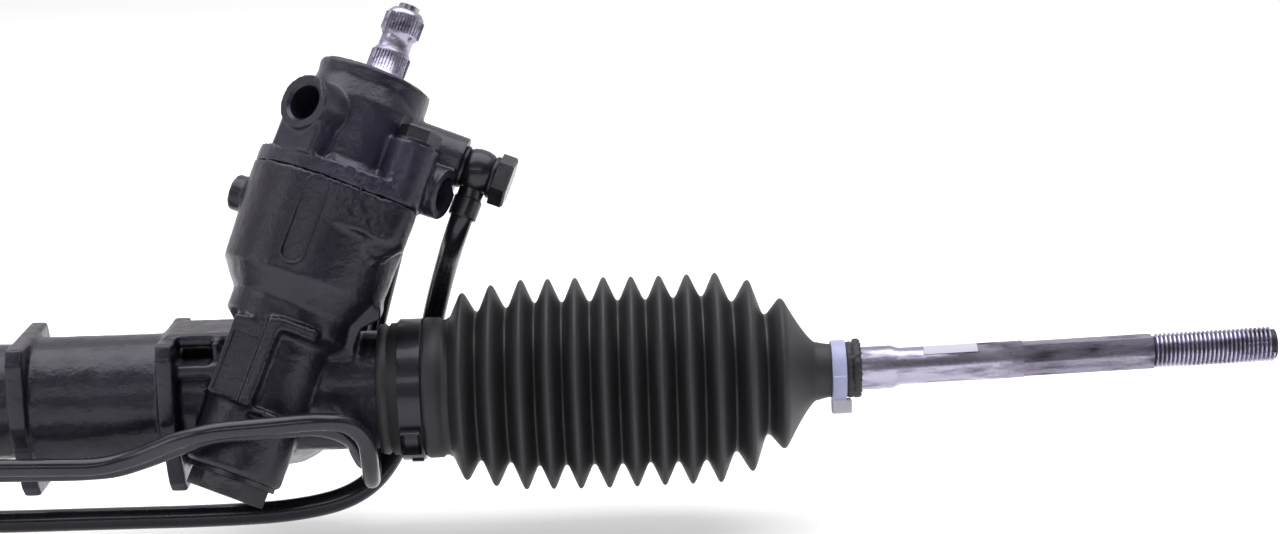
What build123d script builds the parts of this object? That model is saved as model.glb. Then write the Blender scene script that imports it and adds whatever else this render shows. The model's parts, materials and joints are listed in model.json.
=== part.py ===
"""Hydraulic power steering rack and pinion with inner tie rods, in millimetres.

Frame: origin at the centre of the clamping seat, on the rack's axis. +X runs along the rack
towards the pinion side's tie rod, +Y is the back, where the yoke is, and +Z is up.
The tower is everything on the pinion's axis: its own frame has z up that axis and y to the back.
"""
from build123d import *
from math import acos, asin, cos, degrees, pi, radians, sin, sqrt, tan
import os

# Clearances
RUNNING = 0.05  # radial, between pieces that turn or slide on each other
SEATED = 0.02  # radial, between pieces that are fitted and stay

# Rack, pinion and the tower's attitude
RACK_TRAVEL = 63.0  # each way from straight ahead
BAR_RADIUS = 12.0
TOOTH_TIP_PLANE = 9.0  # from the rack's axis
MODULE = 2.0
PINION_TEETH = 7
HELIX = radians(21.6)
PRESSURE = radians(20)
SHIFT = 0.55 * MODULE
BACKLASH = 0.18
PINION_ADDENDUM = 2.5
RACK_TEETH = 25
TOWER_X = 58.1  # where the pinion crosses the rack
TOWER_TILT = radians(20)  # the tower leans to the back

PITCH_RADIUS = MODULE * PINION_TEETH / 2 / cos(HELIX)
RACK_PITCH = pi * MODULE
CENTRE_DISTANCE = TOOTH_TIP_PLANE + PITCH_RADIUS + SHIFT - MODULE
PINION_ROOT = PITCH_RADIUS + SHIFT - 1.25 * MODULE
PINION_TIP = PITCH_RADIUS + PINION_ADDENDUM

# Stations along the rack, from the seat's centre
BALL_RIGHT = 202.2
BALL_LEFT = -457.8
TUBE_END_RIGHT = 112.5
HOUSING_END_LEFT = -46.0
FLANGE_STATIONS = (-25.3, 25.6)
FLANGE_THICK = 6.0
END_CASTING_LEFT = -368.0
END_CASTING_RIGHT = -298.0
END_SEAT_STATION = -328.0
INNER_BULKHEAD = -88.0
CYLINDER_START = -30.0
CYLINDER_END = -362.0
PISTON_STATION = -198.0
CYLINDER_PORTS = (-286.0, -108.0)

# Radii round the rack's axis
SEAT_RADIUS = 22.0
TUBE_RADIUS = 20.5
CASTING_BORE = 13.2
CYLINDER_RADIUS = 18.0
CYLINDER_BORE = 16.0
COLLAR_RADIUS = 20.0

# Stations up the tower, from the rack's axis
PLUG_BOTTOM = -39.0
LOWER_RIM = -31.4
LOWER_BEARING = (-27.0, -19.0)
PINION_FACE = 16.0
NECK_BASE = 18.0
NECK_BEARING = (30.0, 42.0)
BARREL_BASE = 38.0
SEAM = 72.5
SLEEVE = (54.0, 100.0)
FLANGE_TOP = 78.5
HOUSING_TOP = 115.0
SHAFT_TIP = 140.4
LOWER_SPLINE = (117.0, 124.3)
UPPER_SPLINE = (131.8, 138.2)

# Radii round the tower's axis
NECK_RADIUS = 23.5
BARREL_RADIUS = 29.5
VALVE_BODY_RADIUS = 20.3
VALVE_TOP_RADIUS = 19.0
LOWER_RADIUS = 17.0
LOWER_BEARING_OUTER = 14.0
JOURNAL_RADIUS = 6.0
GEAR_CHAMBER = 11.6
NECK_BEARING_OUTER = 15.0
PINION_JOURNAL = 10.0
SLEEVE_OUTER = 15.95
SLEEVE_INNER = 11.05
SHAFT_JOURNAL = 9.45
SPLINE_RADIUS = 7.05
NECK_SHAFT_RADIUS = 5.65
TORSION_BAR_RADIUS = 3.0
SPIGOT_RADIUS = 22.0

# Yoke
YOKE_RADIUS = 16.9
YOKE_BOSS_RADIUS = 22.0
YOKE_BOSS_END = 36.0

# Boots
BOOT_CUFF = -105.8  # from the ball's centre to the cuff's lip
RIDGE_STATIONS = (-76.6, -66.5, -56.0, -46.6, -37.1, -27.2, -17.6, -7.9, 1.8, 11.6, 22.8, 34.1)
RIDGE_RADII = (31.8, 34.0, 35.5, 35.6, 35.8, 35.8, 35.8, 35.8, 35.9, 36.0, 33.1, 26.1)
VALLEY_RADII = (26.0, 27.0, 28.6, 28.6, 28.6, 28.7, 28.6, 28.8, 28.8, 26.4, 21.2)
BOOT_WALL = 1.9
RIDGE_FLAT = 0.9
NECK_STATION = 50.0
BOOT_TIP = 60.0
NECK_TIE_RADIUS = 9.7

# Tie rods, along their own axis from the ball's centre
ROD_RISE = 1.6  # degrees above the rack's line
BALL_RADIUS = 11.0
LINER_RADIUS = 13.2
SOCKET_RADIUS = 16.5
SOCKET_BACK = 24.0
SOCKET_FRONT = 12.0
MOUTH_ANGLE = radians(52)
ROD_RADIUS = 7.5
ROD_WAIST_RADIUS = 6.45
ROD_STEP = (72.0, 75.0)
HEX_START = 117.8
HEX_ACROSS_FLATS = 11.0
THREAD_START = 163.0
ROD_END = 206.0
THREAD_RADIUS = 6.0
ROD_NECK_RADIUS = 6.2

# Lines
LINE_RADIUS = 3.0
RETURN_RADIUS = 4.0
LINE_NUT_END = 40.0  # from the tower's axis
PORT_NUT_END = 38.0  # from the rack's axis
BANJO_WASHER = 1.5
EYE_WIDTH = 9.6
CLIP_STATIONS = (-232.0, -70.0)

# Small pieces inside
LOCK_WASHER = 2.0
STUD_RADIUS = 7.0
STUD_LENGTH = 11.5
PIN_RADIUS = 1.5
SLEEVE_GROOVES = (59.0, 69.0, 79.0, 89.0)
GROOVE_WIDTH = 2.4
GROOVE_RADIUS = 14.4
YOKE_LINER_OUTER = 13.0
BALL_PATH_RADIUS = 10.0
BEARING_BALL = 2.0
BEARING_BALLS = 9


def tower_plane():
    """The tower's frame: z up the pinion's axis, y to the back, square to the rack."""
    back = Vector(0, cos(TOWER_TILT), -sin(TOWER_TILT))
    up = Vector(0, sin(TOWER_TILT), cos(TOWER_TILT))
    axis = Vector(sin(HELIX), 0, 0) + up * cos(HELIX)
    across = Vector(cos(HELIX), 0, 0) - up * sin(HELIX)
    return Plane(origin=Vector(TOWER_X, 0, 0) - back * CENTRE_DISTANCE, x_dir=across, z_dir=axis)


TOWER = tower_plane()
# The yoke's frame: z to the back along the yoke's bore, x along the rack.
YOKE_FRAME = Plane(origin=(TOWER_X, 0, 0), x_dir=(1, 0, 0), z_dir=(0, cos(TOWER_TILT), -sin(TOWER_TILT)))
ALONG_RACK = Plane(origin=(0, 0, 0), x_dir=(0, 1, 0), z_dir=(1, 0, 0))


def on_tower(shape):
    return TOWER.location * shape


def on_yoke(shape):
    return YOKE_FRAME.location * shape


def drum(radius, low, high):
    """A cylinder on the local z axis between two stations."""
    return Pos(0, 0, (low + high) / 2) * Cylinder(radius, high - low)


def ring(outer, inner, low, high):
    return drum(outer, low, high) - drum(inner, low - 1, high + 1)


def rack_drum(radius, low, high):
    """A cylinder on the rack's axis between two stations."""
    return Rot(0, 90, 0) * drum(radius, low, high)


def rack_ring(outer, inner, low, high):
    return Rot(0, 90, 0) * ring(outer, inner, low, high)


def turned(points):
    """A solid turned on the local z axis from a profile of (radius, station) points."""
    return revolve(Plane.XZ * make_face(Polyline(*points, close=True)), Axis.Z)


def hexagon(across_flats, low, high):
    return extrude(Pos(0, 0, low) * RegularPolygon(across_flats / 2, 6, major_radius=False), high - low)


def radial(azimuth, station):
    """A frame square to the tower's axis: z points out at an azimuth from the front, towards the right."""
    angle = radians(azimuth)
    out = Vector(sin(angle), -cos(angle), 0)
    return Plane(origin=(0, 0, station), x_dir=(0, 0, 1), z_dir=out)


# Ports of the valve housing: azimuth from the front, station up the tower, face radius, boss radius
FRONT_PORT = (-33.0, 94.0, 33.0, 9.7)
RIGHT_PORT = (75.0, 82.5, 37.0, 9.0)
BANJO_PORT = (92.0, 95.5, 36.5, 10.0)
LINE_PORTS = ((190.0, 83.0, 30.0, 8.0), (170.0, 100.0, 30.0, 8.0))
PORT_BORE = 6.1
LINE_PORT_BORE = 5.0
BANJO_BORE = 5.0
BOLT_SITES = ((22.0, -17.5), (-23.0, 18.0))
BOLT_RADIUS = 4.0
BOLT_LUG_RADIUS = 8.5
BOLT_LUG_TOP = 94.0


def port_boss(port):
    azimuth, station, face, radius = port
    return radial(azimuth, station).location * drum(radius, 8, face)


def port_bore(port, radius, depth):
    azimuth, station, face, boss = port
    return radial(azimuth, station).location * drum(radius, face - depth, face + 1)


# ------------------------------------------------------------------ castings

def flange(station):
    """A seat flange: flat on top, chamfered, with a narrower lower lobe."""
    outline = [(-22, 26), (22, 26), (25, 21), (25, -4), (13.5, -28), (9, -32), (-9, -32), (-13.5, -28), (-25, -4), (-25, 21)]
    face = make_face(Polyline(*outline, close=True))
    plate = extrude(ALONG_RACK.offset(station - FLANGE_THICK / 2) * face, FLANGE_THICK)
    return plate


def seat(centre, half_length):
    return rack_drum(SEAT_RADIUS, centre - half_length, centre + half_length)


def gear_housing():
    left, right = FLANGE_STATIONS
    body = seat(0, 24) + flange(left) + flange(right)
    body += rack_drum(COLLAR_RADIUS, HOUSING_END_LEFT, left)
    body += rack_drum(TUBE_RADIUS, right, TUBE_END_RIGHT)
    # Webs between the right flange and the pinion box
    web_height = 7.0
    body += Pos(38, 0, 20) * Box(26, 30, web_height)
    body += Pos(38, -17, 6) * Box(26, 16, 5)
    body += Pos(38, 4, -21) * Box(26, 14, 7)
    # Tower: lower bearing housing, box, neck and barrel
    lower = turned([(0, LOWER_RIM), (LOWER_RADIUS - 1, LOWER_RIM), (LOWER_RADIUS, LOWER_RIM + 1.5),
                    (LOWER_RADIUS, -6), (18.5, -6), (18.5, NECK_BASE), (NECK_RADIUS, NECK_BASE + 3),
                    (NECK_RADIUS, BARREL_BASE - 6), (BARREL_RADIUS - 1.5, BARREL_BASE),
                    (BARREL_RADIUS, BARREL_BASE + 2), (BARREL_RADIUS, SEAM), (0, SEAM)])
    body += on_tower(lower)
    body += on_tower(Pos(-4, -17, 9) * Box(4.5, 13, 24))
    body += on_tower(Pos(5, -17, 22) * Box(22, 13, 5))
    for x, y in BOLT_SITES:
        lug = drum(BOLT_LUG_RADIUS, SEAM - 14, SEAM) + Pos(x * -0.3, y * -0.3, SEAM - 7) * Box(17, 17, 14)
        body += on_tower(Pos(x, y, 0) * lug)
    # Yoke boss, webbed to the tube
    body += on_yoke(drum(YOKE_BOSS_RADIUS, 0, YOKE_BOSS_END))
    # Bores
    body -= rack_drum(CASTING_BORE, HOUSING_END_LEFT - 1, TUBE_END_RIGHT + 1)
    body -= rack_drum(CYLINDER_RADIUS + SEATED, HOUSING_END_LEFT - 1, CYLINDER_START)
    body -= on_tower(drum(LOWER_BEARING_OUTER + SEATED, LOWER_RIM - 1, LOWER_BEARING[1]))
    body -= on_tower(drum(GEAR_CHAMBER, LOWER_BEARING[1] - 1, NECK_BEARING[0] + 1))
    body -= on_tower(drum(NECK_BEARING_OUTER + SEATED, NECK_BEARING[0], NECK_BEARING[1] + 1))
    body -= on_tower(drum(17.5, NECK_BEARING[1], SEAM - 11))
    body -= on_tower(drum(SPIGOT_RADIUS + SEATED, SEAM - 12, SEAM + 1))
    for x, y in BOLT_SITES:
        body -= on_tower(Pos(x, y, 0) * drum(BOLT_RADIUS + SEATED, SEAM - 13, SEAM + 1))
    body -= on_yoke(drum(YOKE_RADIUS + RUNNING, 2, YOKE_BOSS_END + 1))
    return body


def valve_housing():
    body = drum(SPIGOT_RADIUS, SEAM - 12, SEAM) + drum(BARREL_RADIUS - 0.5, SEAM, FLANGE_TOP)
    body += turned([(0, FLANGE_TOP - 1), (VALVE_BODY_RADIUS + 3, FLANGE_TOP - 1), (VALVE_BODY_RADIUS, FLANGE_TOP + 4),
                    (VALVE_BODY_RADIUS, 103), (VALVE_TOP_RADIUS, 107), (VALVE_TOP_RADIUS, HOUSING_TOP - 1),
                    (VALVE_TOP_RADIUS - 1, HOUSING_TOP), (0, HOUSING_TOP)])
    for x, y in BOLT_SITES:
        lug = drum(BOLT_LUG_RADIUS, SEAM, BOLT_LUG_TOP) + Pos(x * -0.3, y * -0.3, (SEAM + BOLT_LUG_TOP) / 2) * Box(
            14, 14, BOLT_LUG_TOP - SEAM)
        body += Pos(x, y, 0) * lug
    for port in (FRONT_PORT, RIGHT_PORT, BANJO_PORT, *LINE_PORTS):
        body += port_boss(port)
    # Web from the front port down to the flange
    body += radial(FRONT_PORT[0] - 18, 0).location * (Pos(84, 0, 19) * Box(20, 9, 18))
    body -= drum(SLEEVE_OUTER + RUNNING, SEAM - 13, SLEEVE[1] + 1)
    body -= drum(13 + SEATED, SLEEVE[1], 108)
    body -= drum(14 + SEATED, 108, HOUSING_TOP + 1)
    for x, y in BOLT_SITES:
        body -= Pos(x, y, 0) * drum(BOLT_RADIUS + SEATED, SEAM - 1, BOLT_LUG_TOP + 1)
    body -= port_bore(FRONT_PORT, PORT_BORE, 13)
    body -= port_bore(FRONT_PORT, 3.0, 20)
    body -= port_bore(RIGHT_PORT, PORT_BORE, 13)
    body -= port_bore(RIGHT_PORT, 3.0, 24)
    body -= port_bore(BANJO_PORT, BANJO_BORE + SEATED, 15)
    for port in LINE_PORTS:
        body -= port_bore(port, LINE_PORT_BORE + SEATED, 10)
    return on_tower(body)


def housing_bolt(x, y):
    head = hexagon(13, BOLT_LUG_TOP, BOLT_LUG_TOP + 6)
    return on_tower(Pos(x, y, 0) * (drum(BOLT_RADIUS, SEAM - 12, BOLT_LUG_TOP) + head))


def end_casting():
    """The casting on the cylinder's left end, with a seat of its own."""
    middle = END_SEAT_STATION
    body = seat(middle, 22) + rack_drum(TUBE_RADIUS, END_CASTING_LEFT, middle) + rack_drum(COLLAR_RADIUS, middle, END_CASTING_RIGHT)
    body += rack_drum(24.5, middle - 22, middle - 16) + rack_drum(24.5, middle + 16, middle + 22)
    body -= rack_drum(CYLINDER_RADIUS + SEATED, CYLINDER_END, END_CASTING_RIGHT + 1)
    body -= rack_drum(CASTING_BORE, END_CASTING_LEFT - 1, END_CASTING_RIGHT)
    return body


# ------------------------------------------------------------------ cylinder

def cylinder_tube():
    return rack_ring(CYLINDER_RADIUS, CYLINDER_BORE, CYLINDER_END, CYLINDER_START)


def bulkhead(low, high):
    return rack_ring(CYLINDER_BORE - SEATED, BAR_RADIUS + RUNNING, low, high)


def cylinder_port(station):
    """A port boss brazed on the tube's lower front."""
    boss = Plane(origin=(station, 0, 0), x_dir=(1, 0, 0), z_dir=PORT_DIRECTION).location
    body = boss * drum(7.5, CYLINDER_RADIUS - 2, 28)
    body -= rack_drum(CYLINDER_RADIUS + SEATED, station - 20, station + 20)
    body -= boss * drum(LINE_PORT_BORE + SEATED, 19.5, 29)
    return body


PORT_DIRECTION = Vector(0, -0.5, -sqrt(0.75))


# ------------------------------------------------------------------ rack

def rack_bar():
    left, right = BALL_LEFT + SOCKET_BACK + LOCK_WASHER, BALL_RIGHT - SOCKET_BACK - LOCK_WASHER
    bar = rack_drum(BAR_RADIUS, left, right)
    bar += rack_drum(STUD_RADIUS, left - STUD_LENGTH, right + STUD_LENGTH)
    # Grooves between the teeth, square to the rack
    half_tip = RACK_PITCH / 4 + MODULE * tan(PRESSURE)
    half_root = RACK_PITCH / 4 - 1.25 * MODULE * tan(PRESSURE)
    outer = 13.0  # beyond the bar
    half_outer = half_tip + (outer - TOOTH_TIP_PLANE) * tan(PRESSURE)
    root_plane = TOOTH_TIP_PLANE - 2.25 * MODULE
    groove_face = make_face(Polyline((-half_root, -root_plane), (half_root, -root_plane), (half_outer, -outer),
                                     (-half_outer, -outer), close=True))
    tilted = Plane(origin=(TOWER_X, 0, 0), x_dir=(1, 0, 0), z_dir=(0, sin(TOWER_TILT), cos(TOWER_TILT)))
    groove = tilted.location * extrude(groove_face, 14, both=True)
    flat_length = RACK_TEETH * RACK_PITCH
    flat = tilted.location * (Pos(0, -TOOTH_TIP_PLANE - 5, 0) * Box(flat_length, 10, 28))
    first = -(RACK_TEETH - 1) / 2
    cuts = [Pos((first + i) * RACK_PITCH, 0, 0) * groove for i in range(RACK_TEETH)]
    return bar - [flat, *cuts]


def piston():
    body = rack_ring(CYLINDER_BORE - RUNNING, BAR_RADIUS + SEATED, PISTON_STATION - 6, PISTON_STATION + 6)
    return body - rack_ring(CYLINDER_BORE + 1, 14.0, PISTON_STATION - 2, PISTON_STATION + 2)


def piston_ring():
    return rack_ring(CYLINDER_BORE - RUNNING, 14.0 + SEATED, PISTON_STATION - 2 + SEATED, PISTON_STATION + 2 - SEATED)


def side(station, outward):
    """Places a piece drawn along +z from a ball's centre: outward is 1 on the right and -1 on the left."""
    return Pos(station, 0, 0) * Rot(0, 90 * outward, 0)


def ball_socket():
    """Cup on the end of the bar, round the liner, with a flared mouth and spanner flats."""
    body = drum(SOCKET_RADIUS, -SOCKET_BACK, SOCKET_FRONT)
    body -= Sphere(LINER_RADIUS + RUNNING)
    body -= drum(STUD_RADIUS + SEATED, -SOCKET_BACK - 1, -SOCKET_BACK + STUD_LENGTH)
    mouth = SOCKET_FRONT * tan(MOUTH_ANGLE)
    body -= turned([(0, 0), (mouth * 1.2, SOCKET_FRONT * 1.2), (0, SOCKET_FRONT * 1.2)])
    for across in (-1, 1):
        body -= Pos(across * (SOCKET_RADIUS + 3.5), 0, -SOCKET_BACK + 5) * Box(10, 40, 12)
    return body


def lock_washer():
    return ring(SOCKET_RADIUS - 0.5, STUD_RADIUS + SEATED, -SOCKET_BACK - LOCK_WASHER, -SOCKET_BACK)


def ball_liner():
    """Plastic seat between ball and socket: it swings up and down, and the rod swings across it."""
    body = Sphere(LINER_RADIUS) - Sphere(BALL_RADIUS + RUNNING)
    far = LINER_RADIUS * 2
    body -= turned([(0, 0), (far * tan(MOUTH_ANGLE), far), (0, far)])
    return body - drum(5.0, -LINER_RADIUS - 1, 0)


def tie_rod():
    rod = turned([(0, 0), (ROD_NECK_RADIUS, 0), (ROD_NECK_RADIUS, 22), (ROD_RADIUS, 27), (ROD_RADIUS, ROD_STEP[0]),
                  (ROD_WAIST_RADIUS, ROD_STEP[1]), (ROD_WAIST_RADIUS, HEX_START), (0, HEX_START)])
    rod += Sphere(BALL_RADIUS)
    rod += Rot(0, 0, 30) * hexagon(HEX_ACROSS_FLATS, HEX_START, THREAD_START)
    chamfer = 1.2
    rod += turned([(0, THREAD_START), (THREAD_RADIUS - 0.6, THREAD_START), (THREAD_RADIUS, THREAD_START + 0.6),
                   (THREAD_RADIUS, ROD_END - chamfer), (THREAD_RADIUS - chamfer, ROD_END), (0, ROD_END)])
    return rod


def raised(outward):
    """Turns a piece drawn along +z from the ball's centre by the rod's rise."""
    return Rot(0, -ROD_RISE * outward, 0)


# ------------------------------------------------------------------ boots

def boot_profile(inset):
    """Half profile from the first ridge to the neck, (radius, station), inset from the outer skin."""
    points = []
    for i, (station, radius) in enumerate(zip(RIDGE_STATIONS, RIDGE_RADII)):
        points += [(radius - inset, station - RIDGE_FLAT), (radius - inset, station + RIDGE_FLAT)]
        if i < len(VALLEY_RADII):
            points.append((VALLEY_RADII[i] - inset, (station + RIDGE_STATIONS[i + 1]) / 2))
    return points


def boot_pleats():
    """Cuff and pleats, drawn along +z from the ball's centre, the cuff towards the housing."""
    lip = BOOT_CUFF
    inner_tube = TUBE_RADIUS + SEATED
    outer = [(inner_tube, lip), (22.15, lip), (22.15, lip + 5.2), (21.6, lip + 6), (23.4, lip + 6.8), (23.4, lip + 13),
             (24.3, lip + 13.4), (24.3, lip + 22.8)]
    inner = [(r, s) for r, s in reversed(boot_profile(BOOT_WALL))] + [(inner_tube, lip + 21.5)]
    return turned(outer + boot_profile(0) + inner)


def boot_cone():
    """Concave cone and neck, drawn along +z on the tie rod's axis."""
    last, radius = RIDGE_STATIONS[-1], RIDGE_RADII[-1]
    bore = ROD_RADIUS + 0.25
    return turned([(radius - BOOT_WALL, last - RIDGE_FLAT), (radius - 0.3, last - RIDGE_FLAT), (radius - 0.3, last + RIDGE_FLAT),
                   (13.5, NECK_STATION - 9), (NECK_TIE_RADIUS, NECK_STATION - 3), (NECK_TIE_RADIUS, NECK_STATION + 5),
                   (10.1, BOOT_TIP), (bore, BOOT_TIP), (bore, NECK_STATION - 4), (11.6, NECK_STATION - 9),
                   (radius - BOOT_WALL - 1, last + RIDGE_FLAT)])


def large_clamp():
    """Crimped steel band with its ear on the lower front."""
    low = BOOT_CUFF + 6.8
    band = ring(24.3, 23.45, low, low + 6.2)
    ear = Pos(25.3, 0, low + 3.1) * Box(4.5, 7, 6.2) - Pos(26.0, 0, low + 3.1) * Box(1.8, 3.6, 8)
    return band + (Pos(0, 0, 0) * ear - drum(23.45, low - 1, low + 8))


def small_clamp():
    """Nylon tie with its head on the lower front."""
    band = ring(NECK_TIE_RADIUS + 1.3, NECK_TIE_RADIUS + SEATED, NECK_STATION, NECK_STATION + 4.6)
    head = Pos(12.4, 0, NECK_STATION + 2.3) * Box(5.2, 6.0, 5.4)
    return band + (head - drum(NECK_TIE_RADIUS + 0.5, NECK_STATION - 2, NECK_STATION + 8))


# ------------------------------------------------------------------ pinion, valve and input shaft

def involute(angle):
    return tan(angle) - angle


def pinion_section():
    """Transverse section of the pinion, one tooth towards the rack."""
    transverse = atan_of(tan(PRESSURE) / cos(HELIX))
    base = PITCH_RADIUS * cos(transverse)
    thickness = (RACK_PITCH / 2 + 2 * SHIFT * tan(PRESSURE) - BACKLASH) / cos(HELIX)
    at_base = thickness / 2 / PITCH_RADIUS + involute(transverse)

    def half_angle(radius):
        return at_base - involute(acos(min(1.0, base / radius)))

    def place(radius, angle):
        return (-radius * sin(angle), radius * cos(angle))

    middle = (base + PINION_TIP) / 2
    step = 2 * pi / PINION_TEETH
    edges = []
    for i in range(PINION_TEETH):
        turn = i * step
        flank = [(r, half_angle(r)) for r in (base, middle, PINION_TIP)]
        start = [place(r, turn - a) for r, a in flank]
        end = [place(r, turn + a) for r, a in flank]
        root_in, root_out = place(PINION_ROOT, turn - at_base), place(PINION_ROOT, turn + at_base)
        next_root = place(PINION_ROOT, turn + step - at_base)
        edges += [Line(root_in, start[0]), ThreePointArc(*start),
                  ThreePointArc(start[2], place(PINION_TIP, turn), end[2]),
                  ThreePointArc(end[2], end[1], end[0]), Line(end[0], root_out),
                  ThreePointArc(root_out, place(PINION_ROOT, turn + step / 2), next_root)]
    return make_face(Wire(edges))


def atan_of(value):
    return asin(value / sqrt(1 + value * value))


def pinion():
    twist = tan(HELIX) / PITCH_RADIUS  # radians for each millimetre up the tower
    start = Rot(0, 0, degrees(-PINION_FACE * twist)) * (Pos(0, 0, -PINION_FACE) * pinion_section())
    teeth = Solid.extrude_linear_with_rotation(start.face(), (0, 0, -PINION_FACE), (0, 0, 2 * PINION_FACE),
                                               degrees(2 * PINION_FACE * twist))
    low = LOWER_BEARING[0]
    body = turned([(0, -31), (4.5, -31), (4.5, low), (JOURNAL_RADIUS, low), (JOURNAL_RADIUS, LOWER_BEARING[1]),
                   (9.0, LOWER_BEARING[1]), (9.0, -PINION_FACE), (PINION_ROOT - 0.3, -PINION_FACE), (PINION_ROOT - 0.3, PINION_FACE),
                   (PINION_JOURNAL, PINION_FACE), (PINION_JOURNAL, 45), (14.5, 46), (14.5, SLEEVE[0]), (0, SLEEVE[0])])
    body += teeth
    return on_tower(body - drum(TORSION_BAR_RADIUS + 0.1, 4, SLEEVE[0] + 1))


def valve_sleeve():
    body = ring(SLEEVE_OUTER, SLEEVE_INNER, *SLEEVE)
    for station in SLEEVE_GROOVES:
        body -= ring(SLEEVE_OUTER + 1, GROOVE_RADIUS, station, station + GROOVE_WIDTH)
    return on_tower(body)


def sleeve_rings():
    """Four seal rings, one in each groove of the sleeve."""
    rings = [ring(SLEEVE_OUTER + 0.02, GROOVE_RADIUS + SEATED, s + SEATED, s + GROOVE_WIDTH - SEATED) for s in SLEEVE_GROOVES]
    return on_tower(Compound(children=[r.solid() for r in rings]))


def input_shaft():
    body = turned([(0, 57), (SLEEVE_INNER - RUNNING, 57), (SLEEVE_INNER - RUNNING, 97), (SHAFT_JOURNAL, 98), (SHAFT_JOURNAL, 114),
                   (SPLINE_RADIUS, 115), (SPLINE_RADIUS, LOWER_SPLINE[1]), (NECK_SHAFT_RADIUS, LOWER_SPLINE[1] + 1.5),
                   (NECK_SHAFT_RADIUS, UPPER_SPLINE[0] - 1.5), (SPLINE_RADIUS, UPPER_SPLINE[0]), (SPLINE_RADIUS, UPPER_SPLINE[1]),
                   (5.2, SHAFT_TIP), (0, SHAFT_TIP)])
    body -= drum(TORSION_BAR_RADIUS + SEATED, 56, SHAFT_TIP + 1)
    body -= drum(3.7 + SEATED, 126, SHAFT_TIP + 1)
    return on_tower(body - PIN_FRAME * drum(PIN_RADIUS + SEATED, -10, 10))


PIN_FRAME = radial(-30, 136.0).location


def torsion_bar():
    body = drum(TORSION_BAR_RADIUS, 6, 126) + drum(3.7, 126, SHAFT_TIP + 2)
    return on_tower(body - PIN_FRAME * drum(PIN_RADIUS + SEATED, -10, 10))


def torsion_pin():
    return on_tower(PIN_FRAME * drum(PIN_RADIUS, -6, 6))


def lower_bearing_outer():
    race = ring(LOWER_BEARING_OUTER, 11.4, *LOWER_BEARING)
    return on_tower(race - lower_balls_path())


def lower_bearing_inner():
    return on_tower(ring(8.6, JOURNAL_RADIUS + SEATED, *LOWER_BEARING) - lower_balls_path())


def lower_balls_path():
    middle = sum(LOWER_BEARING) / 2
    return Pos(0, 0, middle) * Torus(BALL_PATH_RADIUS, BEARING_BALL + RUNNING)


def lower_bearing_cage():
    """The balls and their cage in one piece."""
    middle = sum(LOWER_BEARING) / 2
    cage = ring(10.6, 9.4, middle - 1.2, middle + 1.2)
    for spot in PolarLocations(BALL_PATH_RADIUS, BEARING_BALLS):
        cage += Pos(0, 0, middle) * spot * Sphere(BEARING_BALL)
    return on_tower(cage)


def neck_bearing():
    return on_tower(ring(NECK_BEARING_OUTER, PINION_JOURNAL + RUNNING, *NECK_BEARING))


def pinion_nut():
    return on_tower(hexagon(15, -31, LOWER_BEARING[0]) - drum(4.5 + SEATED, -32, -26))


def pinion_plug():
    """Hexagon plug that closes the lower bearing and holds its outer race."""
    body = hexagon(24, PLUG_BOTTOM, PLUG_BOTTOM + 6) + drum(15.5, PLUG_BOTTOM + 6, LOWER_RIM)
    body += drum(LOWER_BEARING_OUTER - 0.3, LOWER_RIM, LOWER_BEARING[0])
    return on_tower(body - drum(10.5, -33.5, LOWER_BEARING[0] + 1))


def input_bearing():
    return on_tower(ring(13, SHAFT_JOURNAL + RUNNING, SLEEVE[1] + 0.5, 108))


def input_seal():
    return on_tower(ring(14, SHAFT_JOURNAL + RUNNING, 108.2, 113))


# ------------------------------------------------------------------ yoke

def yoke():
    body = drum(YOKE_RADIUS, 4, 24) - drum(11, 13, 25)
    return on_yoke(body - Rot(0, 90, 0) * Cylinder(YOKE_LINER_OUTER + SEATED, 50))


def yoke_liner():
    shell = Rot(0, 90, 0) * (Cylinder(YOKE_LINER_OUTER, 22) - Cylinder(BAR_RADIUS + RUNNING, 24))
    return on_yoke(shell & Pos(0, 0, 9.3) * Box(30, 20, 10))


def yoke_spring(low):
    """A disc spring."""
    return on_yoke(turned([(5.2, low), (10.8, low + 2.2), (10.8, low + 3.4), (5.2, low + 1.2)]))


def yoke_plug():
    body = drum(YOKE_RADIUS - 0.1, 24.2, YOKE_BOSS_END + 2) - hexagon(17, 30, YOKE_BOSS_END + 3)
    return on_yoke(body + drum(10.5, 19.9, 24.2))


def yoke_lock_nut():
    return on_yoke(drum(YOKE_BOSS_RADIUS - 0.5, YOKE_BOSS_END, YOKE_BOSS_END + 5) - drum(YOKE_RADIUS - 0.05, YOKE_BOSS_END - 1, 50))


# ------------------------------------------------------------------ lines

def tube(points, radii, radius):
    path = FilletPolyline(*points, radius=radii)
    start = path @ 0
    return sweep(Plane(origin=start, z_dir=path % 0) * Circle(radius), path=path)


def bend_radii(points, largest):
    """For each corner, 0.45 of the shorter run over the tangent of half the turn, up to a largest radius."""
    radii = []
    for before, corner, after in zip(points, points[1:], points[2:]):
        a, b = Vector(*corner) - Vector(*before), Vector(*after) - Vector(*corner)
        half_turn = radians(a.get_angle(b)) / 2
        radii.append(min(largest, 0.45 * min(a.length, b.length) / tan(half_turn)))
    return radii


def tower_point(port, distance):
    """A point on a port's axis, out from the tower's axis."""
    azimuth, station, face, boss = port
    angle = radians(azimuth)
    return TOWER.from_local_coords(Vector(distance * sin(angle), -distance * cos(angle), station))


def route_points(points):
    return [tuple(Vector(*p)) if not isinstance(p, Vector) else tuple(p) for p in points]


def cylinder_point(station, distance):
    return Vector(station, 0, 0) + PORT_DIRECTION * distance


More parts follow.
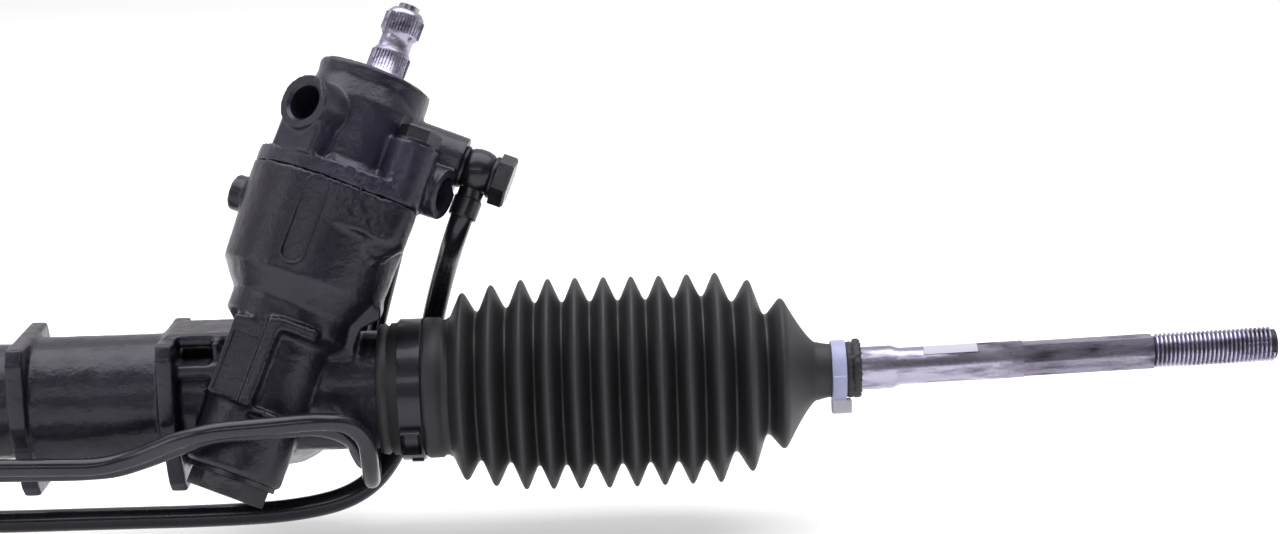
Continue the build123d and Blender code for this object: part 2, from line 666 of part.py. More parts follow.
UPPER_LINE_ROUTE = [
    cylinder_point(CYLINDER_PORTS[1], PORT_NUT_END - 4), cylinder_point(CYLINDER_PORTS[1], PORT_NUT_END + 10),
    (-92, -34, -36), (-66, -35.6, -20), (-34, -34.5, -14.4), (4, -35, -15.2), (17, -37.6, -11.4),
    (31, -43, -5), (44, -47, -0.9), (60, -47.8, 0.2), (79, -46.2, 1.1), (88.5, -40.6, -1.2), (94, -34.6, -8.8),
    (94.2, -29.6, -17.8), (93.4, -19.4, -27), (92, -3.5, -31.6), (91, 13, -30.2), (90.5, 26.4, -21), (90, 33.4, -5), (87, 38, 15), (82, 49, 40),
    tower_point(LINE_PORTS[0], LINE_NUT_END + 13), tower_point(LINE_PORTS[0], LINE_NUT_END - 4)]
LOWER_LINE_ROUTE = [
    cylinder_point(CYLINDER_PORTS[0], PORT_NUT_END - 4), cylinder_point(CYLINDER_PORTS[0], PORT_NUT_END + 10),
    (-270, -34, -35), (-244, -30, -21), (-200, -28, -18), (-150, -27.4, -17.6), (-98, -28, -18.4),
    (-50, -27.6, -18), (-5, -28, -18.6), (8, -29.8, -17.6), (20, -31.8, -13.6), (32, -36.2, -8.4), (44, -41, -3.4),
    (59, -41.4, -3), (77, -39.6, -2.2), (84.4, -34, -5.6), (89, -27, -10.8), (89.6, -21, -16.4), (90.4, -12, -22.6),
    (90, 0, -24.8), (90, 13, -21.4), (90, 22.4, -11), (90, 25, 3), (94, 30, 19), (101, 44, 44),
    tower_point(LINE_PORTS[1], LINE_NUT_END + 13), tower_point(LINE_PORTS[1], LINE_NUT_END - 4)]


def banjo_tail(distance):
    """A point down the tower from the centre of the banjo's eye."""
    azimuth, station, face, boss = BANJO_PORT
    return tower_point((azimuth, station - distance, face, boss), face + BANJO_WASHER + EYE_WIDTH / 2)


RETURN_ROUTE = [
    banjo_tail(13.0), banjo_tail(22.0), (118.6, 25, 36), (113.6, 29.6, 19),
    (108, 33.2, -6), (97.5, 22, -31), (86, 12, -41), (66, 8.5, -45.2), (36, 8, -46.2), (-5, 8.4, -46), (-46, 8, -45.8),
    (-92, 9, -44.6), (-138, 8, -44.8), (-185, 9, -44), (-228, 8, -44.6), (-262, 8.6, -43.4)]


def line(route, radius, largest):
    points = route_points(route)
    return tube(points, bend_radii(points, largest), radius)


def flare_nut(frame, low, high):
    return frame * (hexagon(14, low + 7, high) + drum(LINE_PORT_BORE, low, low + 7) - drum(LINE_RADIUS + SEATED, low - 1, high + 1))


def port_frame(port):
    azimuth, station, face, boss = port
    return TOWER.location * radial(azimuth, station).location


def cylinder_frame(station):
    return Plane(origin=(station, 0, 0), x_dir=(1, 0, 0), z_dir=PORT_DIRECTION).location


def banjo_frame():
    return port_frame(BANJO_PORT)


def banjo_fitting():
    """Eye with its tail and ferrule, down the tower."""
    face = BANJO_PORT[2] + BANJO_WASHER
    eye = drum(8.6, face, face + 9.6)
    tail = Pos(-7, 0, face + 4.8) * Box(10, 9, 9)
    ferrule = Pos(0, 0, face + 4.8) * Rot(0, -90, 0) * drum(5.6, 10.5, 16.5)
    body = eye + tail + ferrule - drum(BANJO_BORE + SEATED, face - 1, face + 11)
    return banjo_frame() * (body - Pos(0, 0, face + 4.8) * Rot(0, -90, 0) * drum(RETURN_RADIUS + SEATED, 12.5, 20))


def banjo_bolt():
    top = BANJO_PORT[2] + 2 * BANJO_WASHER + 9.6
    return banjo_frame() * (drum(BANJO_BORE, BANJO_PORT[2] - 13, top) + drum(8.4, top, top + 1.2) + hexagon(16, top + 1.2, top + 6.4))


def banjo_washers():
    """The two crush washers, one on each side of the eye."""
    face = BANJO_PORT[2]
    washers = [ring(8.2, BANJO_BORE + SEATED, low, low + BANJO_WASHER) for low in (face, face + BANJO_WASHER + EYE_WIDTH)]
    return banjo_frame() * Compound(children=[w.solid() for w in washers])


def pipe_clip(station):
    """Band round the cylinder with an eye for the return pipe."""
    pipe_y, pipe_z = (8.3, -44.65) if station < -200 else (8.5, -45.2)
    band = rack_ring(CYLINDER_RADIUS + 1.6, CYLINDER_RADIUS + SEATED, station - 6, station + 6)
    eye = Pos(station, pipe_y, pipe_z) * Rot(0, 90, 0) * Cylinder(RETURN_RADIUS + 2.2, 12)
    web = Pos(station, 5, -29) * Box(12, 3, 26)
    body = band + ((eye + web) - rack_drum(CYLINDER_RADIUS + 1, station - 7, station + 7))
    return body - Pos(station, pipe_y, pipe_z) * Rot(0, 90, 0) * Cylinder(RETURN_RADIUS + 0.45, 14)


def return_nut():
    """Connector nut on the return pipe's far end."""
    end = Vector(*RETURN_ROUTE[-1])
    before = Vector(*RETURN_ROUTE[-2])
    frame = Plane(origin=end, z_dir=end - before).location
    return frame * (hexagon(17, -12, 0) + drum(7, 0, 9) - drum(RETURN_RADIUS + SEATED, -13, 1) - drum(3, 0, 10))


# ------------------------------------------------------------------ nodes

def rack_nodes():
    nodes = {"rack_bar": rack_bar(), "piston": piston(), "piston_ring": piston_ring()}
    for name, station, outward in (("right", BALL_RIGHT, 1), ("left", BALL_LEFT, -1)):
        place = side(station, outward)
        nodes[f"ball_socket_{name}"] = place * ball_socket()
        nodes[f"lock_washer_{name}"] = place * lock_washer()
        nodes[f"ball_liner_{name}"] = place * ball_liner()
        nodes[f"tie_rod_{name}"] = Pos(station, 0, 0) * raised(outward) * Rot(0, 90 * outward, 0) * tie_rod()
    return nodes


def boot_nodes():
    """The neck and its tie sit on the tie rod's axis, the rest on the rack's."""
    nodes = {}
    front = {1: Rot(0, 0, 58), -1: Rot(0, 0, 122)}
    for name, station, outward in (("right", BALL_RIGHT, 1), ("left", BALL_LEFT, -1)):
        along = side(station, outward)
        on_rod = Pos(station, 0, 0) * raised(outward) * Rot(0, 90 * outward, 0)
        nodes[f"boot_{name}"] = along * boot_pleats() + on_rod * boot_cone()
        nodes[f"large_clamp_{name}"] = along * front[outward] * large_clamp()
        nodes[f"small_clamp_{name}"] = on_rod * front[outward] * small_clamp()
    return nodes


def housing_nodes():
    nodes = {"gear_housing": gear_housing(), "valve_housing": valve_housing(), "end_casting": end_casting(),
             "cylinder_tube": cylinder_tube()}
    for number, (x, y) in enumerate(BOLT_SITES, 1):
        nodes[f"housing_bolt_{number}"] = housing_bolt(x, y)
    nodes["inner_rack_seal"] = bulkhead(INNER_BULKHEAD - 9, INNER_BULKHEAD + 6)
    nodes["outer_rack_seal"] = bulkhead(CYLINDER_END + 1, CYLINDER_END + 17)
    for name, station in zip(("left", "right"), CYLINDER_PORTS):
        nodes[f"cylinder_port_{name}"] = cylinder_port(station)
    return nodes


def tower_nodes():
    nodes = {"pinion": pinion(), "valve_sleeve": valve_sleeve(), "input_shaft": input_shaft(), "torsion_bar": torsion_bar(),
             "torsion_pin": torsion_pin(), "lower_bearing_outer": lower_bearing_outer(), "lower_bearing_inner": lower_bearing_inner(),
             "lower_bearing_cage": lower_bearing_cage(), "neck_bearing": neck_bearing(), "pinion_nut": pinion_nut(),
             "pinion_plug": pinion_plug(), "input_bearing": input_bearing(), "input_seal": input_seal(),
             "sleeve_rings": sleeve_rings(), "yoke": yoke(), "yoke_liner": yoke_liner(), "yoke_plug": yoke_plug(),
             "yoke_lock_nut": yoke_lock_nut(), "yoke_spring": yoke_spring(15.6)}
    return nodes


def line_nodes():
    nodes = {"upper_line": line(UPPER_LINE_ROUTE, LINE_RADIUS, 40), "lower_line": line(LOWER_LINE_ROUTE, LINE_RADIUS, 40),
             "return_pipe": line(RETURN_ROUTE, RETURN_RADIUS, 60), "return_nut": return_nut(),
             "banjo_fitting": banjo_fitting(), "banjo_bolt": banjo_bolt(), "banjo_washers": banjo_washers()}
    for name, port, station in (("upper", LINE_PORTS[0], CYLINDER_PORTS[1]), ("lower", LINE_PORTS[1], CYLINDER_PORTS[0])):
        nodes[f"{name}_line_valve_nut"] = flare_nut(port_frame(port), port[2] - 7, LINE_NUT_END)
        nodes[f"{name}_line_port_nut"] = flare_nut(cylinder_frame(station), 21, PORT_NUT_END)
    for name, station in zip(("left", "right"), CLIP_STATIONS):
        nodes[f"pipe_clip_{name}"] = pipe_clip(station)
    return nodes


def main():
    os.makedirs("parts", exist_ok=True)
    nodes = {**housing_nodes(), **tower_nodes(), **rack_nodes(), **boot_nodes(), **line_nodes()}
    for name, shape in nodes.items():
        export_step(shape, f"parts/{name}.step")
    print(len(nodes), "nodes")


if __name__ == "__main__":
    main()
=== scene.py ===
"""Looks of the hydraulic steering rack: castings, boots, clamps, threads, serrations, light and camera."""
import json
from math import acos, atan2, cos, hypot, pi, radians, remainder, sin, sqrt, tan

import bmesh
import bpy
from mathutils import Matrix, Vector, noise


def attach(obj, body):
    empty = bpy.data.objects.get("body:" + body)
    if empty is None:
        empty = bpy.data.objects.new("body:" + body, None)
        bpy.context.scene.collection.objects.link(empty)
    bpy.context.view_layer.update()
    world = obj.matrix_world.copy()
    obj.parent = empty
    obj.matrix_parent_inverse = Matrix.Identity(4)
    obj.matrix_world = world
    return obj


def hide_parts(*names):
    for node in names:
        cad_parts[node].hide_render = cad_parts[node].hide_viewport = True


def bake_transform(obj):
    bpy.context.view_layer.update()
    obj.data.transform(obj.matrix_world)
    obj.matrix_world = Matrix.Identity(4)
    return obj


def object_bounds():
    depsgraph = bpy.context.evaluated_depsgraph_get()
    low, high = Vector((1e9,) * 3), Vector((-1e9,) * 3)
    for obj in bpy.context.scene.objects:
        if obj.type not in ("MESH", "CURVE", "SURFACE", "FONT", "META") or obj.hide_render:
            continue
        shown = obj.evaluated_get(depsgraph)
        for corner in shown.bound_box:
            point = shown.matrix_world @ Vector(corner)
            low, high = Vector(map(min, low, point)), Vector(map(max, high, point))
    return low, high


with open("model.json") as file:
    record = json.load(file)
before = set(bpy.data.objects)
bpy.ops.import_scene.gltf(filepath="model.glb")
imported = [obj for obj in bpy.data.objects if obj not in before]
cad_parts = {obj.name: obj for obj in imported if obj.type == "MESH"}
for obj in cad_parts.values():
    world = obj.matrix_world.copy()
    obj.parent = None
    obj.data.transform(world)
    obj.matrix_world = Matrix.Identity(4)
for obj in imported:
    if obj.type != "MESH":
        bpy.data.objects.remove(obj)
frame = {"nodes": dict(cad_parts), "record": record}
CAD_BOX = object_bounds()
MM = 0.001

# ---- sizes shared with the solids, in millimetres
BALLS = {"right": (202.2, 1), "left": (-457.8, -1)}  # ball's centre along the rack, and the outward way
ROD_RISE = radians(1.6)
HELIX = radians(21.6)
TOWER_TILT = radians(20)
TOWER_X = 58.1
CENTRE_DISTANCE = 15.629
SEAM = 72.5  # between the two castings, up the tower
BARREL_RADIUS = 29.6
SLEEVE_RADIUS = 16.0
RACK_BORE = 13.2
THREAD_START, ROD_END, THREAD_RADIUS, THREAD_PITCH, THREAD_DEPTH = 163.0, 206.0, 6.0, 1.5, 0.92
SPLINE_BANDS = ((117.0, 124.3), (131.8, 138.2))
SPLINE_RADIUS, SPLINE_DEPTH, SPLINE_TEETH = 7.05, 0.5, 36

# Boot, from the ball's centre outwards
RIDGES = ((-76.6, 32.6), (-66.5, 35.0), (-56.0, 36.5), (-46.6, 36.6), (-37.1, 36.7), (-27.2, 36.7),
          (-17.6, 36.6), (-7.9, 36.5), (1.8, 36.5), (11.6, 36.5), (22.8, 33.3), (34.1, 26.2))
VALLEYS = (26.0, 27.0, 28.4, 28.4, 28.4, 28.5, 28.4, 28.6, 28.6, 26.2, 21.0)
CREST_ROUND = 0.24  # share of a flank that is rounded at each end
CUFF_LIP = -105.8
BOOT_WALL = 1.3
CONE_END = (46.5, 10.1)
TIE_STATION, TIE_WIDTH = 51.0, 5.0
NECK_RADIUS = 9.4
NECK_END = 61.2

# Steel band of the cuff
BAND = (7.4, 15.4)  # from the cuff's lip
BAND_RADIUS, BAND_THICK = 23.5, 0.75
EAR_ANGLE, EAR_LENGTH, EAR_HEIGHT = radians(-33), 10.5, 2.3


def linear(text):
    """An sRGB hex value as linear RGBA."""
    values = [int(text[i:i + 2], 16) / 255 for i in (1, 3, 5)]
    return tuple(v / 12.92 if v <= 0.04045 else ((v + 0.055) / 1.055) ** 2.4 for v in values) + (1.0,)


def turn(count):
    """The angles of a full turn in equal steps."""
    return [2 * pi * k / count for k in range(count)]


def placed(name, data):
    """A new object, linked into the scene."""
    obj = bpy.data.objects.new(name, data)
    bpy.context.scene.collection.objects.link(obj)
    return obj


def add(tree, kind, settings=None, **inputs):
    """Adds a node: settings are its properties, inputs are values, or nodes or sockets that feed them."""
    made = tree.nodes.new(kind)
    for name, value in (settings or {}).items():
        if name == "stops":
            points = made.color_ramp.elements
            for _ in value[2:]:
                points.new(0.5)
            for point, (position, colour) in zip(points, value):
                point.position = position
                point.color = colour if isinstance(colour, tuple) else (colour, colour, colour, 1.0)
        else:
            setattr(made, name, value)
    for name, value in inputs.items():
        by_number = name[0] == "i" and name[1:].isdigit()
        socket = made.inputs[int(name[1:]) if by_number else name.replace("_", " ")]
        if isinstance(value, bpy.types.Node):
            value = value.outputs[0]
        if isinstance(value, bpy.types.NodeSocket):
            tree.links.new(value, socket)
        else:
            socket.default_value = value
    return made


def cleared_tree(owner):
    """The node tree of a material or world, emptied."""
    owner.use_nodes = True
    owner.node_tree.nodes.clear()
    return owner.node_tree


def feed(tree, shader, **sources):
    """Links nodes into a shader's sockets."""
    for name, source in sources.items():
        tree.links.new(source.outputs[0], shader.inputs[name.replace("_", " ")])


def per_mm(size):
    """Texture scale for a pattern of this size in millimetres."""
    return 1 / (size * MM)


# ---- materials

def surface(name, **values):
    """A material with a Principled shader, and the Object coordinates that its patterns read."""
    material = bpy.data.materials.new(name)
    tree = cleared_tree(material)
    shader = add(tree, "ShaderNodeBsdfPrincipled", **values)
    add(tree, "ShaderNodeOutputMaterial", Surface=shader)
    coordinates = add(tree, "ShaderNodeTexCoord").outputs["Object"]
    return material, tree, shader, coordinates


VIOLET = (0.9, 0.86, 1.0, 1.0)  # cast of the sheen on the black paint


def black_paint(name, tint, dust, shine, grain_mm, grain_depth, swell_depth=0.0):
    """Brushed-on gloss black: a violet-black with a broad soft sheen, and the metal's grain as sparkle."""
    material, tree, shader, place = surface(
        name, Specular_IOR_Level=0.4, Coat_Weight=0.2, Coat_Roughness=0.07, Specular_Tint=VIOLET,
        Coat_Tint=VIOLET)
    patches = add(tree, "ShaderNodeTexNoise", Vector=place, Scale=per_mm(24), Detail=4)
    stops = ((0.38, linear(tint)), (0.75, linear(dust)))
    colour = add(tree, "ShaderNodeValToRGB", {"stops": stops}, Fac=patches)
    sheen = add(tree, "ShaderNodeTexNoise", Vector=place, Scale=per_mm(7), Detail=5)
    rough = add(tree, "ShaderNodeValToRGB", {"stops": ((0.3, shine), (0.75, shine + 0.16))}, Fac=sheen)
    swell = add(tree, "ShaderNodeTexNoise", Vector=place, Scale=per_mm(grain_mm * 5), Detail=2)
    depth = max(swell_depth, grain_depth) * MM
    waves = add(tree, "ShaderNodeBump", Height=swell, Strength=1.0, Distance=depth)
    grain = add(tree, "ShaderNodeTexNoise", Vector=place, Scale=per_mm(grain_mm), Detail=4, Roughness=0.6)
    fine = add(tree, "ShaderNodeBump", Height=grain, Strength=1.0, Distance=grain_depth * MM, Normal=waves)
    feed(tree, shader, Base_Color=colour, Roughness=rough, Normal=fine, Coat_Normal=fine)
    return material


def boot_rubber():
    """Moulded black rubber: matt, with a random bloom; the crests painted paler as a painted highlight, the
    folds blacker as painted shade and a little shinier.
    """
    material, tree, shader, place = surface("moulded_black_rubber", Specular_IOR_Level=0.4, IOR=1.52)
    crest = add(tree, "ShaderNodeAttribute", {"attribute_name": "crest"}).outputs["Fac"]
    bloom = add(tree, "ShaderNodeTexNoise", Vector=place, Scale=per_mm(14), Detail=6, Roughness=0.6)
    # painted light: the crest attribute lifts the crests to the paler stop as a painted highlight and keeps the
    # folds black as painted shade; the bloom noise adds random tone
    bloom_and_crest_highlight = add(tree, "ShaderNodeMath", {"operation": "MULTIPLY_ADD"}, i0=bloom, i1=0.5, i2=crest)
    stops = ((0.25, linear("#202023")), (0.7, linear("#202023")), (0.95, linear("#2d2c32")))
    colour = add(tree, "ShaderNodeValToRGB", {"stops": stops}, Fac=bloom_and_crest_highlight)
    rough = add(tree, "ShaderNodeValToRGB", {"stops": ((0.2, 0.4), (1.0, 0.58))}, Fac=bloom_and_crest_highlight)
    grain = add(tree, "ShaderNodeTexNoise", Vector=place, Scale=per_mm(0.8), Detail=3)
    scuffs = add(tree, "ShaderNodeTexVoronoi", Vector=place, Scale=per_mm(9))
    nick = add(tree, "ShaderNodeValToRGB", {"stops": ((0.0, 0.0), (0.09, 1.0))}, Fac=scuffs)
    pits = add(tree, "ShaderNodeBump", Height=nick, Strength=0.6, Distance=0.15 * MM)
    fine = add(tree, "ShaderNodeBump", Height=grain, Strength=1.0, Distance=0.02 * MM, Normal=pits)
    feed(tree, shader, Base_Color=colour, Roughness=rough, Normal=fine)
    return material


def bare_steel(name, clean, film, stained, shine, spread):
    """Bare forged and turned steel: bright, with drawn-out grey stains and fine turning marks."""
    material, tree, shader, place = surface(name, Metallic=0.92)
    along = add(tree, "ShaderNodeMapping", Vector=place, Scale=(0.22, 1.0, 1.0))
    streaks = add(tree, "ShaderNodeTexNoise", Vector=along, Scale=per_mm(5), Detail=6, Roughness=0.62)
    stops = ((spread - 0.1, linear(stained)), (spread, linear(film)), (spread + 0.1, linear(clean)))
    colour = add(tree, "ShaderNodeValToRGB", {"stops": stops}, Fac=streaks)
    stops = ((spread - 0.1, shine + 0.25), (spread + 0.12, shine))
    rough = add(tree, "ShaderNodeValToRGB", {"stops": stops}, Fac=streaks)
    round_marks = add(tree, "ShaderNodeMapping", Vector=place, Scale=(1.0, 0.08, 0.08))
    marks = add(tree, "ShaderNodeTexNoise", Vector=round_marks, Scale=per_mm(0.7), Detail=3)
    turned = add(tree, "ShaderNodeBump", Height=marks, Strength=1.0, Distance=0.012 * MM)
    dents = add(tree, "ShaderNodeTexNoise", Vector=place, Scale=per_mm(4), Detail=2)
    forged = add(tree, "ShaderNodeBump", Height=dents, Strength=1.0, Distance=0.1 * MM, Normal=turned)
    feed(tree, shader, Base_Color=colour, Roughness=rough, Normal=forged)
    return material


def fine_finish(name, colour, roughness, metallic=0.0, grain_mm=0.6, depth=0.01, drift=0.8):
    """A turned, ground or moulded surface: its colour drifts a little and it has a fine grain."""
    material, tree, shader, place = surface(name, Metallic=metallic)
    base = linear(colour)
    darker = tuple(c * drift for c in base[:3]) + (1.0,)
    patches = add(tree, "ShaderNodeTexNoise", Vector=place, Scale=per_mm(7), Detail=4)
    tone = add(tree, "ShaderNodeValToRGB", {"stops": ((0.3, darker), (0.7, base))}, Fac=patches)
    stops = ((0.3, roughness), (0.8, roughness + 0.12))
    rough = add(tree, "ShaderNodeValToRGB", {"stops": stops}, Fac=patches)
    grain = add(tree, "ShaderNodeTexNoise", Vector=place, Scale=per_mm(grain_mm), Detail=2)
    fine = add(tree, "ShaderNodeBump", Height=grain, Strength=1.0, Distance=depth * MM)
    feed(tree, shader, Base_Color=tone, Roughness=rough, Normal=fine)
    return material


MATERIALS = {
    "cast_black": black_paint("black_paint_on_sand_casting", "#0c0a12", "#1a1824", 0.3, 0.8, 0.11, 0.3),
    "valve_black": black_paint("black_paint_on_fine_casting", "#1a1824", "#2c2838", 0.3, 0.7, 0.09, 0.24),
    "tube_black": black_paint("black_paint_on_drawn_tube", "#0b090d", "#151318", 0.2, 2.4, 0.02, 0.05),
    "fastener_black": black_paint("black_paint_on_fasteners", "#0c0b0f", "#18171c", 0.26, 1.0, 0.04, 0.08),
    "line_black": black_paint("black_paint_on_steel_line", "#17161a", "#26242b", 0.18, 1.8, 0.03, 0.06),
    "nut_black": black_paint("black_paint_on_union_nuts", "#0c0b0f", "#18171c", 0.24, 1.0, 0.03, 0.06),
    "clip_black": black_paint("black_paint_on_pressed_clips", "#0b0a0e", "#161519", 0.28, 1.6, 0.03, 0.06),
    "band_steel": black_paint("black_paint_on_steel_band", "#0e0d11", "#1a191e", 0.24, 1.2, 0.02, 0.05),
    "boot_rubber": boot_rubber(),
    "rod_steel": bare_steel("bare_forged_steel_rod", "#aaa4b8", "#8a8497", "#4a4450", 0.24, 0.44),
    "shaft_steel": bare_steel("bare_machined_steel_shaft", "#aaa4b8", "#8b8598", "#4c4654", 0.26, 0.42),
    "ground_steel": fine_finish("ground_steel", "#9a9aa2", 0.22, 1.0),
    "socket_steel": fine_finish("forged_steel_socket", "#5a5a60", 0.4, 1.0),
    "bearing_steel": fine_finish("polished_bearing_steel", "#b4b4ba", 0.15, 1.0),
    "yoke_alloy": fine_finish("cast_yoke_alloy", "#a4a4a8", 0.4, 1.0),
    "washer_alloy": fine_finish("painted_over_alloy_washer", "#3a3940", 0.35, 1.0),
    "tie_nylon": fine_finish("moulded_nylon_tie", "#aeb2d6", 0.36),
    "liner_plastic": fine_finish("moulded_acetal", "#d8d4c4", 0.35),
    "seal_rubber": fine_finish("moulded_nitrile_seal", "#17161a", 0.5),
}
# a dark grey for the thread's root, between the bright ridges
DARK_THREAD_ROOT = fine_finish("dark_thread_root", "#35303a", 0.4, 0.6)
NYLON_HEAD = fine_finish("moulded_nylon_head", "#dcd8e4", 0.4)
LABEL = fine_finish("blank_vinyl_label", "#bab6c6", 0.45, 0.0, 0.9, 0.008, 0.93)
SLOTS = {entry["node"]: entry["material_slot"] for entry in frame["record"]["subparts"]}


def dress_nodes():
    """Every solid gets the material of its slot."""
    for name, obj in frame["nodes"].items():
        obj.data.materials.clear()
        obj.data.materials.append(MATERIALS[SLOTS[name]])


# ---- places

def tower_matrix():
    """The tower's frame in millimetres: z up the pinion's axis, y to the back."""
    back = Vector((0, cos(TOWER_TILT), -sin(TOWER_TILT)))
    up = Vector((0, sin(TOWER_TILT), cos(TOWER_TILT)))
    along = Vector((1, 0, 0))
    axis = along * sin(HELIX) + up * cos(HELIX)
    across = along * cos(HELIX) - up * sin(HELIX)
    matrix = Matrix((across, back, axis)).transposed().to_4x4()
    matrix.translation = Vector((TOWER_X, 0, 0)) - back * CENTRE_DISTANCE
    return matrix


def rod_matrix(side):
    """A frame in millimetres with z out along the tie rod from the ball's centre."""
    station, outward = BALLS[side]
    out = Vector((outward * cos(ROD_RISE), 0, sin(ROD_RISE)))
    back = Vector((0, 1, 0))
    matrix = Matrix((back.cross(out), back, out)).transposed().to_4x4()
    matrix.translation = Vector((station, 0, 0))
    return matrix


TOWER = tower_matrix()


def on_barrel(azimuth, station, radius=BARREL_RADIUS):
    """A point on the tower in metres: azimuth in degrees from the front towards the right."""
    angle = radians(azimuth)
    return TOWER @ Vector((radius * sin(angle), -radius * cos(angle), station)) * MM


def axis_height(station):
    """How far the boot's middle stands above the rack's axis."""
    t = min(1.0, max(0.0, (station + 60) / 100))
    return tan(ROD_RISE) * station * t * t * (3 - 2 * t)


def around(side, station, radius, angle):
    """A point round the boot in metres: angle 0 is the front, and a quarter turn is up."""
    ball, outward = BALLS[side]
    lift = axis_height(station)
    return Vector((ball + outward * station, -radius * cos(angle), lift + radius * sin(angle))) * MM


# ---- meshes

def finish_piece(obj, body, slot, smooth, material=None):
    """Closes and shades a piece, gives it its slot's material or another, and lets it ride on a body."""
    edit = bmesh.new()
    edit.from_mesh(obj.data)
    bmesh.ops.remove_doubles(edit, verts=edit.verts, dist=1e-7)
    bmesh.ops.recalc_face_normals(edit, faces=edit.faces)
    edit.to_mesh(obj.data)
    edit.free()
    obj.data.materials.clear()
    obj.data.materials.append(material or MATERIALS[slot])
    obj.data.shade_smooth()
    obj.data.set_sharp_from_angle(angle=radians(smooth))
    if body:
        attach(obj, body)
    return obj


def piece_from(name, form, body, slot, smooth, material=None):
    """A mesh piece in metres that rides on a body."""
    verts, faces = form
    mesh = bpy.data.meshes.new(name)
    mesh.from_pydata([tuple(v) for v in verts], [], faces)
    return finish_piece(placed(name, mesh), body, slot, smooth, material)


def rings_to_mesh(rings, closed_loop=False, caps=False):
    """Faces between rings of equally many points: closed_loop joins the last ring to the first."""
    count = len(rings[0])
    verts = [p for ring in rings for p in ring]
    faces = []
    last = len(rings) if closed_loop else len(rings) - 1
    for i in range(last):
        a, b = i * count, (i + 1) % len(rings) * count
        faces += [(a + k, a + (k + 1) % count, b + (k + 1) % count, b + k) for k in range(count)]
    if caps:
        faces += [tuple(range(count)), tuple(range((len(rings) - 1) * count, len(rings) * count))]
    return verts, faces


def merged_copy(node, name):
    """A copy of a solid's mesh with its loose triangles merged."""
    obj = placed(name, frame["nodes"][node].data.copy())
    edit = bmesh.new()
    edit.from_mesh(obj.data)
    bmesh.ops.remove_doubles(edit, verts=edit.verts, dist=1e-6)
    edit.to_mesh(obj.data)
    edit.free()
    return obj


def settle(obj, sizes=None):
    """Turns an object's modifiers into its plain mesh, with a node tree's inputs set by name."""
    for modifier in obj.modifiers:
        if modifier.type == "NODES":
            for item in modifier.node_group.interface.items_tree:
                if item.in_out == "INPUT" and item.name in (sizes or {}):
                    modifier[item.identifier] = sizes[item.name]
    mesh = bpy.data.meshes.new_from_object(obj.evaluated_get(bpy.context.evaluated_depsgraph_get()))
    obj.modifiers.clear()
    obj.data = mesh
    return obj


def node_tree(name, sizes):
    """A Geometry Nodes tree with a geometry inlet, named number inlets and a geometry outlet."""
    tree = bpy.data.node_groups.new(name, "GeometryNodeTree")
    tree.interface.new_socket(name="Geometry", in_out="INPUT", socket_type="NodeSocketGeometry")
    for size in sizes:
        kind = "NodeSocketInt" if size in ("Teeth", "Seed") else "NodeSocketFloat"
        tree.interface.new_socket(name=size, in_out="INPUT", socket_type=kind)
    tree.interface.new_socket(name="Geometry", in_out="OUTPUT", socket_type="NodeSocketGeometry")
    return tree, add(tree, "NodeGroupInput").outputs


def grown(name, tree, sizes):
    """An object whose mesh a Geometry Nodes tree makes from its sizes alone."""
    obj = placed(name, bpy.data.meshes.new(name))
    obj.modifiers.new("maker", "NODES").node_group = tree
    return settle(obj, sizes)


# ---- solid forms, drawn in millimetres in a frame

# z along the rack, x to the back, y up
RACK = Matrix(((0, 0, 1, 0), (1, 0, 0, 0), (0, 1, 0, 0), (0, 0, 0, 1)))
# z to the back along the yoke's bore
YOKE = Matrix(((1, 0, 0, TOWER_X), (0, sin(TOWER_TILT), cos(TOWER_TILT), 0),
               (0, cos(TOWER_TILT), -sin(TOWER_TILT), 0), (0, 0, 0, 1)))
WORLD = Matrix.Identity(4)


def on_port(azimuth, station):
    """A frame whose z points out of the tower at an azimuth, and whose x points up it."""
    a = radians(azimuth)
    facing = Matrix(((0, cos(a), sin(a), 0), (0, sin(a), -cos(a), 0),
                     (1, 0, 0, station), (0, 0, 0, 1)))
    return TOWER @ facing


def stacked(matrix, rings):
    """A closed form through rings of points, capped at both ends."""
    return rings_to_mesh([[matrix @ Vector(point) for point in ring] for ring in rings], caps=True)


def circle(radius, station, x=0.0, y=0.0, count=64):
    return [(x + radius * cos(a), y + radius * sin(a), station) for a in turn(count)]


def drum(matrix, radius, low, high, x=0.0, y=0.0):
    return stacked(matrix, [circle(radius, low, x, y), circle(radius, high, x, y)])


def cones(matrix, *sections):
    """A round form through circles, each given as (station, radius, x, y)."""
    return stacked(matrix, [circle(radius, station, x, y) for station, radius, x, y in sections])


def slab(matrix, centre, size):
    x, y, z = centre
    a, b, c = (edge / 2 for edge in size)
    ring = [(x - a, y - b), (x + a, y - b), (x + a, y + b), (x - a, y + b)]
    return stacked(matrix, [[(px, py, z + end) for px, py in ring] for end in (-c, c)])


def prism(matrix, outline, low, high):
    return stacked(matrix, [[(x, y, station) for x, y in outline] for station in (low, high)])


def hexagon(matrix, across_flats, low, high, x=0.0, y=0.0):
    """A hexagonal head with its outer corners turned down."""
    reach = across_flats / sqrt(3)
    sections = ((low, reach), (high - 0.7, reach), (high, reach * 0.9))
    return stacked(matrix, [circle(radius, station, x, y, 6) for station, radius in sections])


def washer(matrix, outline):
    """A ring turned from a closed outline of (radius, station) points."""
    rings = [[matrix @ Vector((r * cos(a), r * sin(a), z)) for r, z in outline] for a in turn(64)]
    return rings_to_mesh(rings, closed_loop=True)


def joined(name, forms):
    """One object that holds several closed forms, which may overlap."""
    verts, faces = [], []
    for form_verts, form_faces in forms:
        first = len(verts)
        verts += [tuple(v * MM) for v in form_verts]
        faces += [tuple(first + i for i in face) for face in form_faces]
    mesh = bpy.data.meshes.new(name)
    mesh.from_pydata(verts, [], faces)
    edit = bmesh.new()
    edit.from_mesh(mesh)
    bmesh.ops.recalc_face_normals(edit, faces=edit.faces)
    edit.to_mesh(mesh)
    edit.free()
    return placed(name, mesh)


# ---- castings

